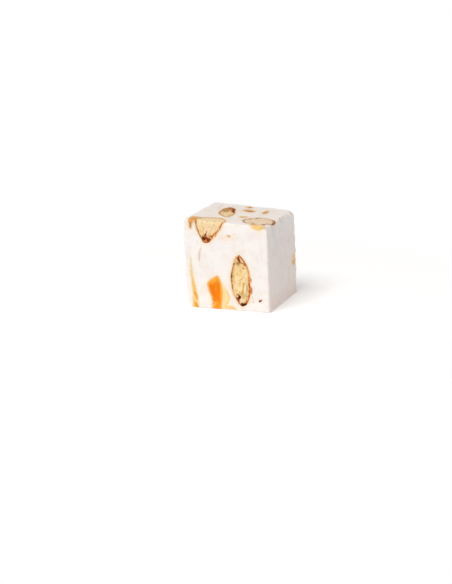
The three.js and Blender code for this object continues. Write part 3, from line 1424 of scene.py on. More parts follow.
FRONT_ALMOND_MARKS = (
    # broad shades of the flesh
    Stroke(FRONT, ((4.2, 12.5, 3.0), (4.6, 9.0, 3.0)), 1.2, 0.5, "#fbe0b0"),
    Stroke(FRONT, ((5.6, 17.5, 2.2), (6.2, 14.5, 2.0)), 1.0, 0.55, "#ebcd8a"),
    Stroke(FRONT, ((3.0, 16.5, 0.7), (2.8, 13.5, 0.9), (2.9, 10.8, 0.7)), 0.5, 0.6, "#dfb878"),
    Stroke(FRONT, ((8.9, 15.8, 0.6), (9.1, 13.2, 0.6)), 0.4, 0.6, "#ebb678"),
    Stroke(FRONT, ((7.5, 15.9, 1.2), (7.6, 14.2, 1.0)), 0.5, 0.6, "#f9e4bd"),
    Stroke(FRONT, ((7.4, 12.9, 1.6), (8.2, 11.6, 1.2)), 0.6, 0.6, "#edcfa6"),
    # the groove between the halves, with a pale ridge and a thin line beside it
    Stroke(FRONT, ((5.9, 7.0, 1.6), (7.2, 6.4, 2.2), (7.6, 4.8, 1.6)), 0.7, 0.8, "#d0b47a", 0.05),
    Stroke(FRONT, ((5.8, 4.9, 0.9), (6.8, 4.4, 1.2), (7.4, 4.9, 0.9)), 0.4, 0.7, "#ecd4b0"),
    Stroke(FRONT, ((6.95, 11.0, 0.9), (6.8, 10.2, 0.75), (6.75, 9.2, 0.55), (6.6, 8.1, 0.8),
                   (6.4, 7.2, 0.9), (6.1, 6.6, 0.6)), 0.2, 0.9, "#d3ae5c", 0.2),
    Stroke(FRONT, ((7.3, 10.9, 0.5), (8.3, 10.9, 0.5)), 0.3, 0.6, "#dcb888", 0.1),
    Stroke(FRONT, ((7.6, 10.0, 0.6), (7.45, 8.4, 0.8), (7.3, 7.2, 0.6)), 0.25, 0.8, "#f6e2bd",
           -0.06),
    Stroke(FRONT, ((8.35, 10.5, 0.35), (8.2, 9.2, 0.4), (8.1, 7.7, 0.3)), 0.18, 0.85, "#c4ab78",
           0.12),
    Stroke(FRONT, ((5.2, 12.2, 0.3), (5.9, 12.7, 0.4), (6.4, 13.0, 0.2)), 0.16, 0.9, "#d0a64c",
           0.08),
    Stroke(FRONT, ((4.4, 15.2, 0.5), (4.3, 14.4, 0.7)), 0.3, 0.75, "#d6b45e", 0.08),
    # the dark hole and the torn flesh around it
    Stroke(FRONT, ((4.0, 5.2, 0.6), (4.5, 4.7, 0.9), (4.8, 3.9, 0.5)), 0.2, 0.95, "#8c3206", 0.05),
    Stroke(FRONT, ((4.8, 6.1, 0.7), (5.15, 5.6, 1.1), (4.95, 5.1, 0.9)), 0.15, 1.0, "#561000", 0.1),
    Stroke(FRONT, ((3.9, 6.0, 0.25), (4.2, 6.55, 0.35), (4.9, 6.4, 0.35)), 0.14, 0.9, "#94481a"),
    Stroke(FRONT, ((4.3, 5.95, 0.5),), 0.18, 0.9, "#f6c79a"),
    # the dark foot
    Stroke(FRONT, ((6.0, 2.9, 0.8), (6.8, 2.5, 1.3), (7.5, 2.7, 1.3), (8.1, 3.1, 0.8)), 0.18, 1.0,
           "#461405"),
    Stroke(FRONT, ((6.4, 3.1, 0.3), (6.3, 3.5, 0.1)), 0.15, 0.8, "#7a3614"),
    # the folded skin at the top
    Stroke(FRONT, ((3.9, 20.5, 1.2), (3.7, 19.8, 1.0)), 0.5, 0.7, "#f3c692"),
    Stroke(FRONT, ((5.0, 18.2, 1.6),), 0.6, 0.5, "#cda866"),
    Stroke(FRONT, ((5.3, 19.3, 0.8), (4.5, 18.9, 1.2)), 0.4, 0.8, "#a07636", 0.1),
    Stroke(FRONT, ((5.0, 21.5, 0.5), (4.8, 20.9, 1.0), (5.0, 20.4, 0.8)), 0.22, 0.95, "#9c4a12",
           0.1),
    Stroke(FRONT, ((5.0, 20.5, 0.5), (5.1, 20.0, 0.7), (5.5, 19.5, 0.5)), 0.2, 1.0, "#542006",
           0.15),
    Stroke(FRONT, ((5.5, 19.5, 0.4), (6.2, 19.1, 0.3)), 0.25, 0.7, "#9a6a4a"),
    Stroke(FRONT, ((6.5, 19.1, 0.3), (7.1, 18.8, 0.6), (7.4, 18.3, 0.6)), 0.2, 0.9, "#bb6a24"),
    Stroke(FRONT, ((5.7, 21.0, 0.3), (6.0, 20.2, 0.5), (6.5, 19.6, 0.3)), 0.2, 0.9, "#fbceaa"),
    Stroke(FRONT, ((6.7, 17.1, 0.7), (7.2, 17.1, 0.4)), 0.2, 0.8, "#c08a50"),
    Stroke(FRONT, ((7.4, 17.6, 0.6),), 0.15, 0.9, "#ffd5a5"),
    # the skin, thick on the right, worn away low on the left
    Stroke(FRONT, ((5.6, 22.2, 1.4), (7.4, 19.6, 1.6), (8.4, 17.4, 1.6)), 0.4, 1.0, "#b35a1e",
           skin=0.6),
    Stroke(FRONT, ((5.5, 22.0, 1.2), (6.9, 20.0, 1.2)), 0.3, 1.0, "#ad5216", skin=0.75),
    Stroke(FRONT, ((8.8, 16.6, 1.4), (9.3, 13.6, 1.4)), 0.4, 1.0, "#cd8a4a", skin=0.34),
    Stroke(FRONT, ((9.4, 12.9, 1.8), (9.4, 9.5, 1.8), (9.1, 6.4, 1.8), (8.2, 3.6, 1.6)), 0.4, 1.0,
           "#b85c18", skin=0.86),
    Stroke(FRONT, ((9.3, 13.4, 1.2), (9.3, 12.2, 1.2)), 0.3, 1.0, "#c87a2c", skin=0.6),
    Stroke(FRONT, ((9.2, 10.2, 1.6), (9.2, 8.2, 1.6)), 0.4, 1.0, "#a4460a", skin=0.95),
    Stroke(FRONT, ((2.5, 17.6, 1.4), (1.8, 14.0, 1.6), (1.8, 11.6, 1.4)), 0.5, 1.0, "#a0622a",
           skin=0.6),
    Stroke(FRONT, ((1.9, 14.6, 1.0), (1.9, 12.8, 1.0)), 0.4, 1.0, "#8c4a1c", skin=0.66),
    Stroke(FRONT, ((1.9, 11.6, 1.2), (2.2, 9.0, 1.2)), 0.4, 1.0, "#b4783a", skin=0.46),
    Stroke(FRONT, ((2.2, 8.0, 1.2), (3.4, 5.6, 1.2)), 0.4, 1.0, "#d29c66", skin=0.14),
    Stroke(FRONT, ((3.0, 18.8, 0.8),), 0.2, 1.0, "#84420e", skin=0.75),
    Stroke(FRONT, ((3.2, 19.6, 1.0), (3.6, 20.4, 1.2), (4.6, 21.6, 0.9)), 0.2, 1.0, "#d8985c",
           skin=0.16),
    Stroke(FRONT, ((4.7, 4.0, 0.8), (5.5, 3.0, 0.8)), 0.2, 1.0, "#b4682c", skin=0.3),
    Stroke(FRONT, ((6.1, 2.6, 0.9), (6.9, 2.0, 1.2), (8.2, 2.9, 0.9)), 0.2, 1.0, "#4a1606",
           skin=0.5),
)

CORNER_ALMOND_MARKS = (
    Stroke(FRONT, ((-7.4, 34.0, 1.2), (-7.3, 31.0, 1.0)), 0.5, 0.5, "#f0cfb6"),
    Stroke(FRONT, ((-10.6, 34.5, 1.4), (-9.6, 31.0, 1.0)), 0.6, 0.6, "#edd09a"),
    Stroke(FRONT, ((-5.8, 33.8, 0.3), (-6.2, 32.0, 0.25)), 0.2, 0.5, "#dfb98a", 0.06),
    Stroke(FRONT, ((-9.0, 34.4, 0.25), (-8.8, 31.6, 0.2)), 0.2, 0.45, "#e0bd88", 0.06),
    # the burnt root, with dark fibres that fan up from it
    Stroke(FRONT, ((-9.5, 29.0, 1.0), (-8.2, 28.9, 1.0), (-7.0, 28.9, 0.8)), 0.5, 0.7, "#dba25c"),
    Stroke(FRONT, ((-9.4, 26.8, 0.7), (-8.5, 26.8, 0.7)), 0.25, 0.95, "#b9621f"),
    Stroke(FRONT, ((-9.1, 26.5, 0.3), (-8.7, 26.7, 0.2)), 0.15, 0.5, "#e39a5c"),
    Stroke(FRONT, ((-6.9, 28.7, 0.5), (-6.2, 29.1, 0.6)), 0.25, 0.85, "#b8642a"),
    Stroke(FRONT, ((-8.9, 28.8, 0.6), (-8.6, 29.4, 0.8), (-8.3, 30.0, 0.3), (-8.0, 30.9, 0.15)),
           0.18, 0.95, "#7a3c0a", 0.05),
    Stroke(FRONT, ((-9.7, 28.3, 0.9), (-9.3, 27.8, 1.2), (-8.5, 28.1, 1.1)), 0.2, 1.0, "#641e00",
           0.1),
    Stroke(FRONT, ((-8.1, 28.2, 0.9), (-7.7, 27.7, 1.2), (-7.5, 27.1, 1.0), (-7.0, 27.9, 0.8)),
           0.22, 1.0, "#8c3408", 0.05),
    Stroke(FRONT, ((-7.4, 28.55, 0.45),), 0.15, 0.9, "#f0c09c"),
    Stroke(FRONT, ((-8.35, 27.6, 0.1), (-8.35, 27.1, 0.25)), 0.1, 0.8, "#c8682a"),
    Stroke(FRONT, ((-9.6, 29.3, 0.3), (-9.4, 30.0, 0.15)), 0.15, 0.6, "#c08a48"),
    Stroke(FRONT, ((-6.6, 29.3, 0.3), (-6.3, 30.2, 0.15)), 0.2, 0.5, "#cf9a62"),
    Stroke(FRONT, ((-12.6, 35.0, 1.4), (-12.0, 32.0, 1.4), (-11.0, 29.6, 1.2)), 0.4, 1.0, "#ae6c34",
           skin=0.3),
    Stroke(FRONT, ((-12.5, 33.6, 0.8),), 0.3, 1.0, "#a26028", skin=0.45),
    Stroke(FRONT, ((-11.4, 30.8, 0.8),), 0.3, 1.0, "#945a22", skin=0.5),
    Stroke(FRONT, ((-10.2, 28.6, 1.0),), 0.4, 1.0, "#7a4010", skin=0.45),
    Stroke(FRONT, ((-10.0, 27.8, 1.0), (-9.7, 27.0, 0.9)), 0.3, 1.0, "#8c3c0c", skin=0.3),
    Stroke(FRONT, ((-9.2, 26.3, 0.8),), 0.3, 1.0, "#bb6424", skin=0.3),
    Stroke(FRONT, ((-7.6, 26.5, 0.9), (-6.8, 26.9, 0.9), (-6.2, 27.9, 0.9)), 0.3, 1.0, "#984212",
           skin=0.3),
    Stroke(FRONT, ((-5.0, 29.0, 1.6), (-3.2, 32.0, 1.6), (-1.2, 35.2, 1.4)), 0.4, 1.0, "#c67a30",
           skin=0.42),
    Stroke(FRONT, ((-5.8, 28.8, 1.4), (-4.4, 30.2, 1.2)), 0.4, 1.0, "#ac601e", skin=0.6),
    Stroke(FRONT, ((-2.4, 33.2, 1.0), (-1.4, 34.6, 1.0)), 0.3, 1.0, "#bb6c22", skin=0.55),
    Stroke(TOP, ((-12.0, -14.5, 3.0), (-8.0, -10.0, 3.0), (-4.5, -9.5, 2.0)), 1.0, 1.0, "#a88a68",
           skin=0.3),
    Stroke(TOP, ((-12.4, -16.4, 1.6), (-11.2, -14.6, 1.4)), 0.6, 1.0, "#c08236", skin=0.6),
    Stroke(TOP, ((-3.4, -10.6, 2.4), (-1.2, -14.6, 2.4)), 0.8, 1.0, "#cf8844", skin=0.5),
    Stroke(FRONT, ((-11.6, 34.2, 1.4), (-3.0, 34.2, 1.4)), 0.9, 0.55, "#f8dfb2"),
    Stroke(TOP, ((-11.0, -14.6, 3.6), (-6.0, -13.6, 5.0), (-2.4, -14.6, 3.0)), 1.2, 0.75,
           "#f8dfb4"),
    Stroke(TOP, ((-8.4, -10.8, 1.2), (-5.0, -10.8, 1.2)), 1.0, 0.5, "#d9bd94"),
)

TOP_LEFT_ALMOND_MARKS = (
    Stroke(TOP, ((-8.0, 8.2, 2.4), (-7.4, 5.5, 3.6), (-7.4, 2.6, 2.8)), 0.9, 0.95, "#bd8c50"),
    Stroke(TOP, ((-5.8, 5.5, 1.2), (-5.6, 3.0, 1.2)), 0.8, 0.5, "#dcaa5e"),
    Stroke(TOP, ((-5.2, -2.0, 2.0), (-4.8, -4.5, 1.5)), 1.0, 0.6, "#f3dcb4"),
    Stroke(TOP, ((-3.8, -2.8, 1.0),), 0.8, 0.5, "#eec98c"),
    Stroke(TOP, ((-7.4, 0.5, 0.3), (-7.0, -2.0, 0.3)), 0.2, 0.6, "#c39a64", 0.08),
    Stroke(TOP, ((-6.0, 1.0, 0.3), (-5.2, -3.6, 0.3)), 0.2, 0.5, "#cda56c", 0.1),
    Stroke(TOP, ((-7.4, 9.0, 1.0), (-6.6, 8.0, 1.4), (-5.9, 7.0, 1.0)), 0.6, 0.85, "#a56c3e"),
    Stroke(TOP, ((-6.3, 7.6, 0.9), (-5.6, 5.6, 0.8)), 0.4, 0.8, "#c07a44"),
    Stroke(TOP, ((-4.4, 0.2, 0.9), (-4.0, -2.0, 1.0)), 0.5, 0.6, "#f0c488"),
    Stroke(TOP, ((-3.0, -4.4, 1.0), (-2.6, -6.0, 0.9)), 0.5, 0.85, "#a88458", 0.05),
    Stroke(TOP, ((-4.8, -6.2, 1.2), (-4.0, -6.8, 1.0)), 0.5, 0.6, "#cdb48c"),
    Stroke(TOP, ((-5.8, 7.4, 0.7), (-5.1, 5.4, 1.2), (-4.5, 3.4, 1.3), (-3.8, 1.5, 0.6)), 0.3, 1.0,
           "#8c3e0a", 0.02),
    # painted highlight: a pale pink patch at the end of the dark band
    Stroke(TOP, ((-3.5, 0.3, 0.6), (-3.0, -1.6, 0.6)), 0.3, 0.85, "#fbc89a"),
    Stroke(TOP, ((-7.9, 8.6, 0.6), (-7.7, 7.0, 0.6)), 0.4, 0.7, "#8a603a"),
    Stroke(TOP, ((-8.8, 8.0, 2.0), (-9.4, 3.6, 2.0)), 0.6, 1.0, "#a87848", skin=0.55),
    Stroke(TOP, ((-9.0, 3.8, 1.2), (-8.8, 2.4, 1.2)), 0.5, 1.0, "#9a6a3a", skin=0.65),
    Stroke(TOP, ((-9.0, 0.8, 1.2), (-8.7, -0.8, 1.2)), 0.5, 1.0, "#a06c3c", skin=0.45),
    Stroke(TOP, ((-8.4, 1.6, 1.0), (-8.2, -0.6, 1.0)), 0.4, 0.7, "#f0cba4"),
    Stroke(TOP, ((-8.6, -1.8, 1.2), (-8.0, -3.0, 1.2)), 0.5, 1.0, "#c09468", skin=0.5),
    Stroke(TOP, ((-7.4, -3.8, 1.4), (-5.8, -6.4, 1.4)), 0.5, 1.0, "#8a5c34", skin=0.7),
    Stroke(TOP, ((-2.6, -0.4, 1.4), (-1.8, -4.4, 1.4)), 0.4, 1.0, "#b0804e", skin=0.5),
    Stroke(TOP, ((-1.8, -3.0, 1.0),), 0.6, 1.0, "#946438", skin=0.7),
    Stroke(TOP, ((-4.8, 7.0, 1.4), (-3.2, 2.0, 1.2)), 0.4, 1.0, "#a0562c", skin=0.4),
)

TOP_RIGHT_ALMOND_MARKS = (
    Stroke(TOP, ((6.6, -8.0, 2.0), (6.4, -10.0, 1.6)), 1.0, 0.5, "#e2cfa4"),
    Stroke(TOP, ((11.0, -5.0, 2.5), (12.5, -10.5, 2.5)), 1.4, 0.5, "#f2d2b8"),
    Stroke(TOP, ((8.0, -9.2, 0.3), (13.6, -8.2, 0.3)), 0.2, 0.4, "#d8b690", 0.08),
    Stroke(TOP, ((14.9, -3.6, 0.5), (15.7, -6.4, 0.5), (16.2, -8.6, 0.6)), 0.3, 0.85, "#7e4a2c"),
    Stroke(TOP, ((15.4, -4.6, 0.5), (16.2, -7.2, 0.5)), 0.25, 0.7, "#f0c4a4"),
    Stroke(TOP, ((15.0, -10.6, 0.8), (15.8, -11.4, 0.6)), 0.5, 0.7, "#a07c60"),
    Stroke(TOP, ((6.1, -5.2, 0.5), (6.3, -7.4, 0.9)), 0.4, 0.7, "#b08a64"),
    Stroke(TOP, ((8.0, -3.6, 0.6), (8.4, -4.8, 0.8)), 0.4, 0.8, "#94684c"),
    Stroke(TOP, ((14.2, -9.4, 0.4), (14.7, -11.0, 0.5)), 0.4, 0.6, "#b08e74"),
    # syrup of the peel beneath it, in the flesh along its front edge
    Stroke(TOP, ((10.2, -14.4, 2.0), (12.0, -14.8, 1.8), (13.6, -12.6, 1.8), (14.4, -14.0, 1.4)),
           0.6, 0.85, "#f2bc6c"),
    Stroke(TOP, ((13.2, -11.4, 0.4), (13.7, -12.8, 0.8), (14.0, -14.0, 0.5)), 0.3, 0.9, "#bb7f2c"),
    Stroke(TOP, ((14.0, -11.6, 0.3), (14.5, -13.2, 0.5)), 0.25, 0.9, "#7c5038", 0.05),
    Stroke(TOP, ((9.8, -13.2, 0.8), (10.4, -14.8, 1.1)), 0.35, 0.95, "#86562a", 0.05),
    Stroke(TOP, ((16.2, -6.0, 2.2), (17.2, -9.4, 2.2)), 0.6, 1.0, "#74402c", skin=0.5),
    Stroke(TOP, ((4.4, -8.0, 2.2), (5.4, -12.6, 2.2)), 0.6, 1.0, "#8a6448", skin=0.5),
    Stroke(TOP, ((5.6, -12.0, 1.2), (6.4, -13.6, 1.2)), 0.5, 1.0, "#6c4a34", skin=0.6),
    Stroke(TOP, ((4.9, -6.0, 1.6), (6.6, -4.2, 1.6)), 0.5, 1.0, "#a8825e", skin=0.4),
    Stroke(TOP, ((6.8, -3.9, 1.4), (9.4, -2.6, 1.4)), 0.5, 1.0, "#8a664a", skin=0.35),
    Stroke(TOP, ((10.4, -2.4, 1.6), (14.0, -2.6, 1.6)), 0.5, 1.0, "#b09a80", skin=0.2),
    Stroke(TOP, ((7.4, -14.2, 1.6), (9.0, -14.6, 1.4)), 0.5, 1.0, "#c9b8a4", skin=0.2),
    Stroke(TOP, ((10.6, -14.6, 1.6), (14.4, -13.4, 1.6)), 0.5, 1.0, "#94622c", skin=0.4),
)

LEFT_ALMOND_MARKS = (
    Stroke(LEFT, ((-5.0, 22.0, 3.0), (-3.4, 15.0, 3.2)), 1.4, 0.5, "#ebcd94"),
    Stroke(LEFT, ((-1.6, 21.0, 1.4), (-0.9, 17.0, 1.2)), 0.8, 0.5, "#fbe4bc"),
    Stroke(LEFT, ((-2.4, 13.6, 0.6), (-3.0, 16.6, 1.0), (-3.9, 19.6, 0.8), (-4.6, 21.8, 0.3)), 0.22,
           0.85, "#d2ab5c", 0.25),
    Stroke(LEFT, ((-4.0, 14.6, 0.3), (-4.8, 17.4, 0.35), (-5.6, 20.4, 0.2)), 0.15, 0.6, "#cbb080",
           0.1),
    Stroke(LEFT, ((-1.2, 13.0, 0.9), (-0.8, 12.2, 0.6)), 0.3, 0.9, "#8a4c28", 0.3),
    Stroke(LEFT, ((-6.4, 25.4, 0.8), (-6.9, 26.8, 0.6)), 0.3, 0.8, "#a5662e"),
    Stroke(LEFT, ((-8.6, 20.0, 1.6), (-7.9, 15.0, 1.6)), 0.5, 1.0, "#a35a28", skin=0.6),
    Stroke(LEFT, ((0.4, 20.0, 1.6), (1.2, 15.6, 1.6)), 0.5, 1.0, "#c48a54", skin=0.2),
)

BACK_ROUND_MARKS = (
    Stroke(BACK, ((-8.6, 24.4, 2.0), (-6.4, 25.6, 2.0), (-4.2, 24.4, 1.6)), 1.0, 0.5, "#fbe2b6"),
    Stroke(BACK, ((-9.4, 22.6, 0.4), (-6.6, 22.9, 0.8), (-3.6, 23.6, 0.4)), 0.2, 0.85, "#cfa65a",
           0.25),
    Stroke(BACK, ((-7.6, 21.0, 0.3), (-5.0, 21.6, 0.3)), 0.15, 0.5, "#c8aa76", 0.08),
    Stroke(BACK, ((-3.6, 25.6, 0.8), (-3.0, 25.0, 0.6)), 0.25, 0.9, "#7c351b", 0.3),
    Stroke(BACK, ((-11.4, 25.0, 1.8), (-10.6, 27.0, 1.8)), 0.5, 1.0, "#8a4218", skin=0.7),
)

BACK_FOOT_MARKS = (
    Stroke(BACK, ((-12.6, 2.4, 1.8), (-8.6, 2.6, 1.8)), 0.9, 0.5, "#e9ca90"),
    Stroke(BACK, ((-13.6, 1.6, 0.4), (-10.4, 1.9, 0.6), (-7.6, 1.7, 0.3)), 0.2, 0.8, "#cfa65a",
           0.2),
)

FOOT_ALMOND_MARKS = (
    Stroke(FOOT, ((-10.0, -2.0, 2.0), (-4.0, -6.0, 2.6)), 1.2, 0.5, "#fbe2b6"),
    Stroke(FOOT, ((-9.6, -2.6, 0.3), (-5.6, -5.0, 0.8), (-1.4, -7.8, 0.3)), 0.2, 0.8, "#d2ab5c",
           0.12),
)

ALMONDS = {
    "almond_corner": Almond(
        (-7.0, -14.9, 35.4), (-0.17, -0.24, -0.96), (0, 1, 0), (19.6, 13.2, 10.8),
        caps=(0.3, 0.5), skin=0.4, flesh="#f0d5aa", husk="#a05820", sunk=0.05,
        marks=CORNER_ALMOND_MARKS,
        bumps=(Bump((-4.4, -16.8, 28.8), 2.2, -0.8), Bump((-9.7, -16.8, 26.6), 1.2, 0.3),
               Bump((-7.2, -16.8, 26.2), 1.1, 0.2), Bump((-8.4, -16.8, 26.2), 0.8, -0.2),
               Bump((-0.2, -12.0, 36.0), 3.0, -1.1)),
    ),
    "almond_front": Almond(
        (5.8, -16.9, 12.0), (-0.06, 0, 1), (1, 0, 0), (20.4, 11.6, 8.4), blunt=0.68,
        caps=(0.2, 0.6), skin=0.45, flesh="#f1d4a1", husk="#9a5222", marks=FRONT_ALMOND_MARKS,
        bumps=(Bump((3.6, -16.9, 20.6), 1.5, 0.75), Bump((8.0, -16.9, 2.9), 0.9, 0.3),
               Bump((9.9, -16.9, 10.0), 3.4, -0.5), Bump((4.2, -16.9, 4.2), 1.3, -0.4),
               Bump((1.6, -16.9, 10.4), 2.2, -0.3), Bump((2.8, -16.9, 18.4), 1.5, 0.25),
               Bump((5.2, -16.9, 2.4), 0.9, -0.1), Bump((6.7, -16.9, 1.7), 0.9, -0.1)),
    ),
    "almond_top_left": Almond(
        (-5.95, 1.2, 34.7), (0.27, -0.96, 0), (1, 0.3, 0.1), (18.0, 10.6, 6.5), blunt=0.6,
        caps=(0.6, 0.5), skin=0.4, flesh="#edd3a3", husk="#a06c40",
        marks=TOP_LEFT_ALMOND_MARKS,
        bumps=(Bump((-2.0, -4.4, 34.7), 1.6, 0.5), Bump((-3.6, 4.6, 34.7), 3.0, -0.55),
               Bump((-9.9, 4.4, 34.7), 3.0, -0.3), Bump((-8.4, -2.6, 34.7), 2.4, 0.6),
               Bump((-5.8, -6.0, 34.7), 1.6, 0.5)),
    ),
    "almond_top_right": Almond(
        (10.7, -8.6, 34.3), (0.98, 0.16, 0), (0, 0.1, 1), (13.2, 12.0, 7.0), blunt=0.62,
        point=0.66, caps=(0.3, 0.3), skin=0.3, flesh="#edd8be", husk="#7e5a40", sunk=0.05,
        marks=TOP_RIGHT_ALMOND_MARKS,
    ),
    "almond_left": Almond(
        (-17.4, 3.6, 18.4), (0, 0.3, 0.95), (1, 0, 0), (21.6, 12.6, 8.6), skin=0.36,
        caps=(1.4, 0.9), marks=LEFT_ALMOND_MARKS,
    ),
    "almond_back_round": Almond(
        (6.4, 16.6, 23.4), (0.24, -1, 0.16), (-0.4, 0, 0.9), (21.0, 12.0, 8.4), skin=0.46,
        husk="#7c3c1a", marks=BACK_ROUND_MARKS,
    ),
    "almond_back_foot": Almond(
        (10.6, 17.4, 1.0), (-0.6, -0.8, 0.12), (0.1, 0, 1), (20.0, 11.2, 8.2),
        marks=BACK_FOOT_MARKS,
    ),
    "almond_back_sliver": Almond(
        (-9.6, 16.8, 23.6), (0.42, 0, 0.9), (0.4, 1, 0), (11.0, 4.2, 3.2), blunt=0.7, skin=0.16,
        flesh="#e8cfa4", husk="#a87c4c",
    ),
    "almond_foot": Almond(
        (-5.4, 5.0, 0.2), (0.84, 0.54, 0), (0, 0, 1), (18.4, 11.4, 8.0), sunk=0.06,
        marks=FOOT_ALMOND_MARKS,
    ),
}

# ------------------------------------------------------------------ the pieces of peel

FRONT_PEEL_MARKS = (
    Stroke(FRONT, ((-4.4, 12.6, 1.6), (-6.2, 11.0, 2.2)), 1.2, 0.8, "#fab445"),
    Stroke(FRONT, ((-6.6, 9.0, 1.6), (-6.0, 7.0, 1.8), (-5.3, 5.2, 1.4)), 0.9, 0.8, "#eb7c08"),
    Stroke(FRONT, ((-4.4, 9.6, 2.0), (-4.2, 7.0, 2.2), (-4.2, 4.6, 1.6)), 0.9, 0.7, "#f28806"),
    Stroke(FRONT, ((-2.5, 10.0, 0.6), (-2.2, 7.0, 0.9), (-2.3, 3.5, 1.1)), 0.5, 0.9, "#fcb84c"),
    Stroke(FRONT, ((-3.2, 10.3, 0.3), (-3.5, 8.9, 0.35), (-3.3, 8.0, 0.2)), 0.2, 0.6, "#e07810",
           0.1),
    Stroke(FRONT, ((-4.2, 2.2, 2.0), (-3.9, 0.4, 2.6)), 0.8, 0.9, "#faa62a"),
    Stroke(FRONT, ((-5.0, 2.6, 0.5), (-5.4, 1.4, 0.7)), 0.3, 0.9, "#fcc674", -0.05),
    Stroke(FRONT, ((-5.9, 4.2, 0.3), (-5.6, 3.4, 0.45)), 0.18, 0.85, "#c4832e", 0.1),
    Stroke(FRONT, ((-5.6, 2.4, 0.45),), 0.18, 0.8, "#cf9048", 0.08),
    Stroke(FRONT, ((-4.7, 8.1, 0.35),), 0.2, 0.7, "#fdb463"),
    Stroke(FRONT, ((-5.0, 11.3, 0.4),), 0.3, 0.6, "#fdc06a"),
    Stroke(FRONT, ((-3.0, 7.6, 0.25),), 0.15, 0.6, "#fca94e"),
    Stroke(FRONT, ((-4.4, 2.9, 0.25),), 0.15, 0.6, "#fdc06a"),
)

STREAK_MARKS = (
    Stroke(FRONT, ((-15.0, 19.5, 1.2), (-15.0, 15.5, 1.2)), 0.5, 0.92, "#faead2"),
    Stroke(FRONT, ((-14.7, 15.0, 1.0), (-14.4, 12.5, 1.0)), 0.5, 0.8, "#f7dcae"),
    Stroke(FRONT, ((-14.6, 13.2, 0.3), (-14.4, 11.5, 0.4), (-14.2, 10.3, 0.4)), 0.25, 0.6,
           "#ecc88e"),
    Stroke(FRONT, ((-14.1, 9.8, 0.8), (-13.7, 7.5, 1.2), (-13.3, 6.0, 1.4)), 0.5, 0.7, "#f9c672"),
    Stroke(FRONT, ((-13.7, 6.4, 0.6), (-13.3, 5.5, 0.9), (-12.8, 4.7, 0.7), (-12.6, 3.4, 0.6)),
           0.3, 0.9, "#eba634", 0.05),
    Stroke(FRONT, ((-14.0, 4.9, 0.5), (-13.7, 3.9, 0.8), (-13.4, 2.9, 0.5)), 0.3, 0.8, "#fbd898"),
    Stroke(FRONT, ((-14.15, 4.6, 0.2), (-14.05, 2.6, 0.3)), 0.15, 0.6, "#e3ba8a"),
    Stroke(FRONT, ((-13.6, 2.2, 0.5), (-13.1, 1.6, 1.0), (-12.8, 1.0, 0.9)), 0.5, 0.9, "#f5ac3c"),
    Stroke(FRONT, ((-12.9, 1.4, 0.5), (-12.6, 0.9, 0.7), (-12.2, 0.3, 0.9)), 0.3, 0.9, "#d6942a"),
)

CORNER_PEEL_MARKS = (
    Stroke(TOP, ((-15.5, -15.0, 2.5), (-14.5, -12.4, 2.5)), 1.2, 0.9, "#f2ac5c"),
    Stroke(TOP, ((-12.6, -14.8, 0.9), (-12.4, -13.2, 0.8)), 0.4, 0.85, "#b0702e"),
    Stroke(FRONT, ((-14.8, 32.2, 0.6), (-14.75, 33.8, 0.7)), 0.3, 0.85, "#c5823c"),
    Stroke(FRONT, ((-15.2, 34.5, 0.9), (-13.6, 34.8, 0.8)), 0.4, 0.8, "#eaa858"),
)

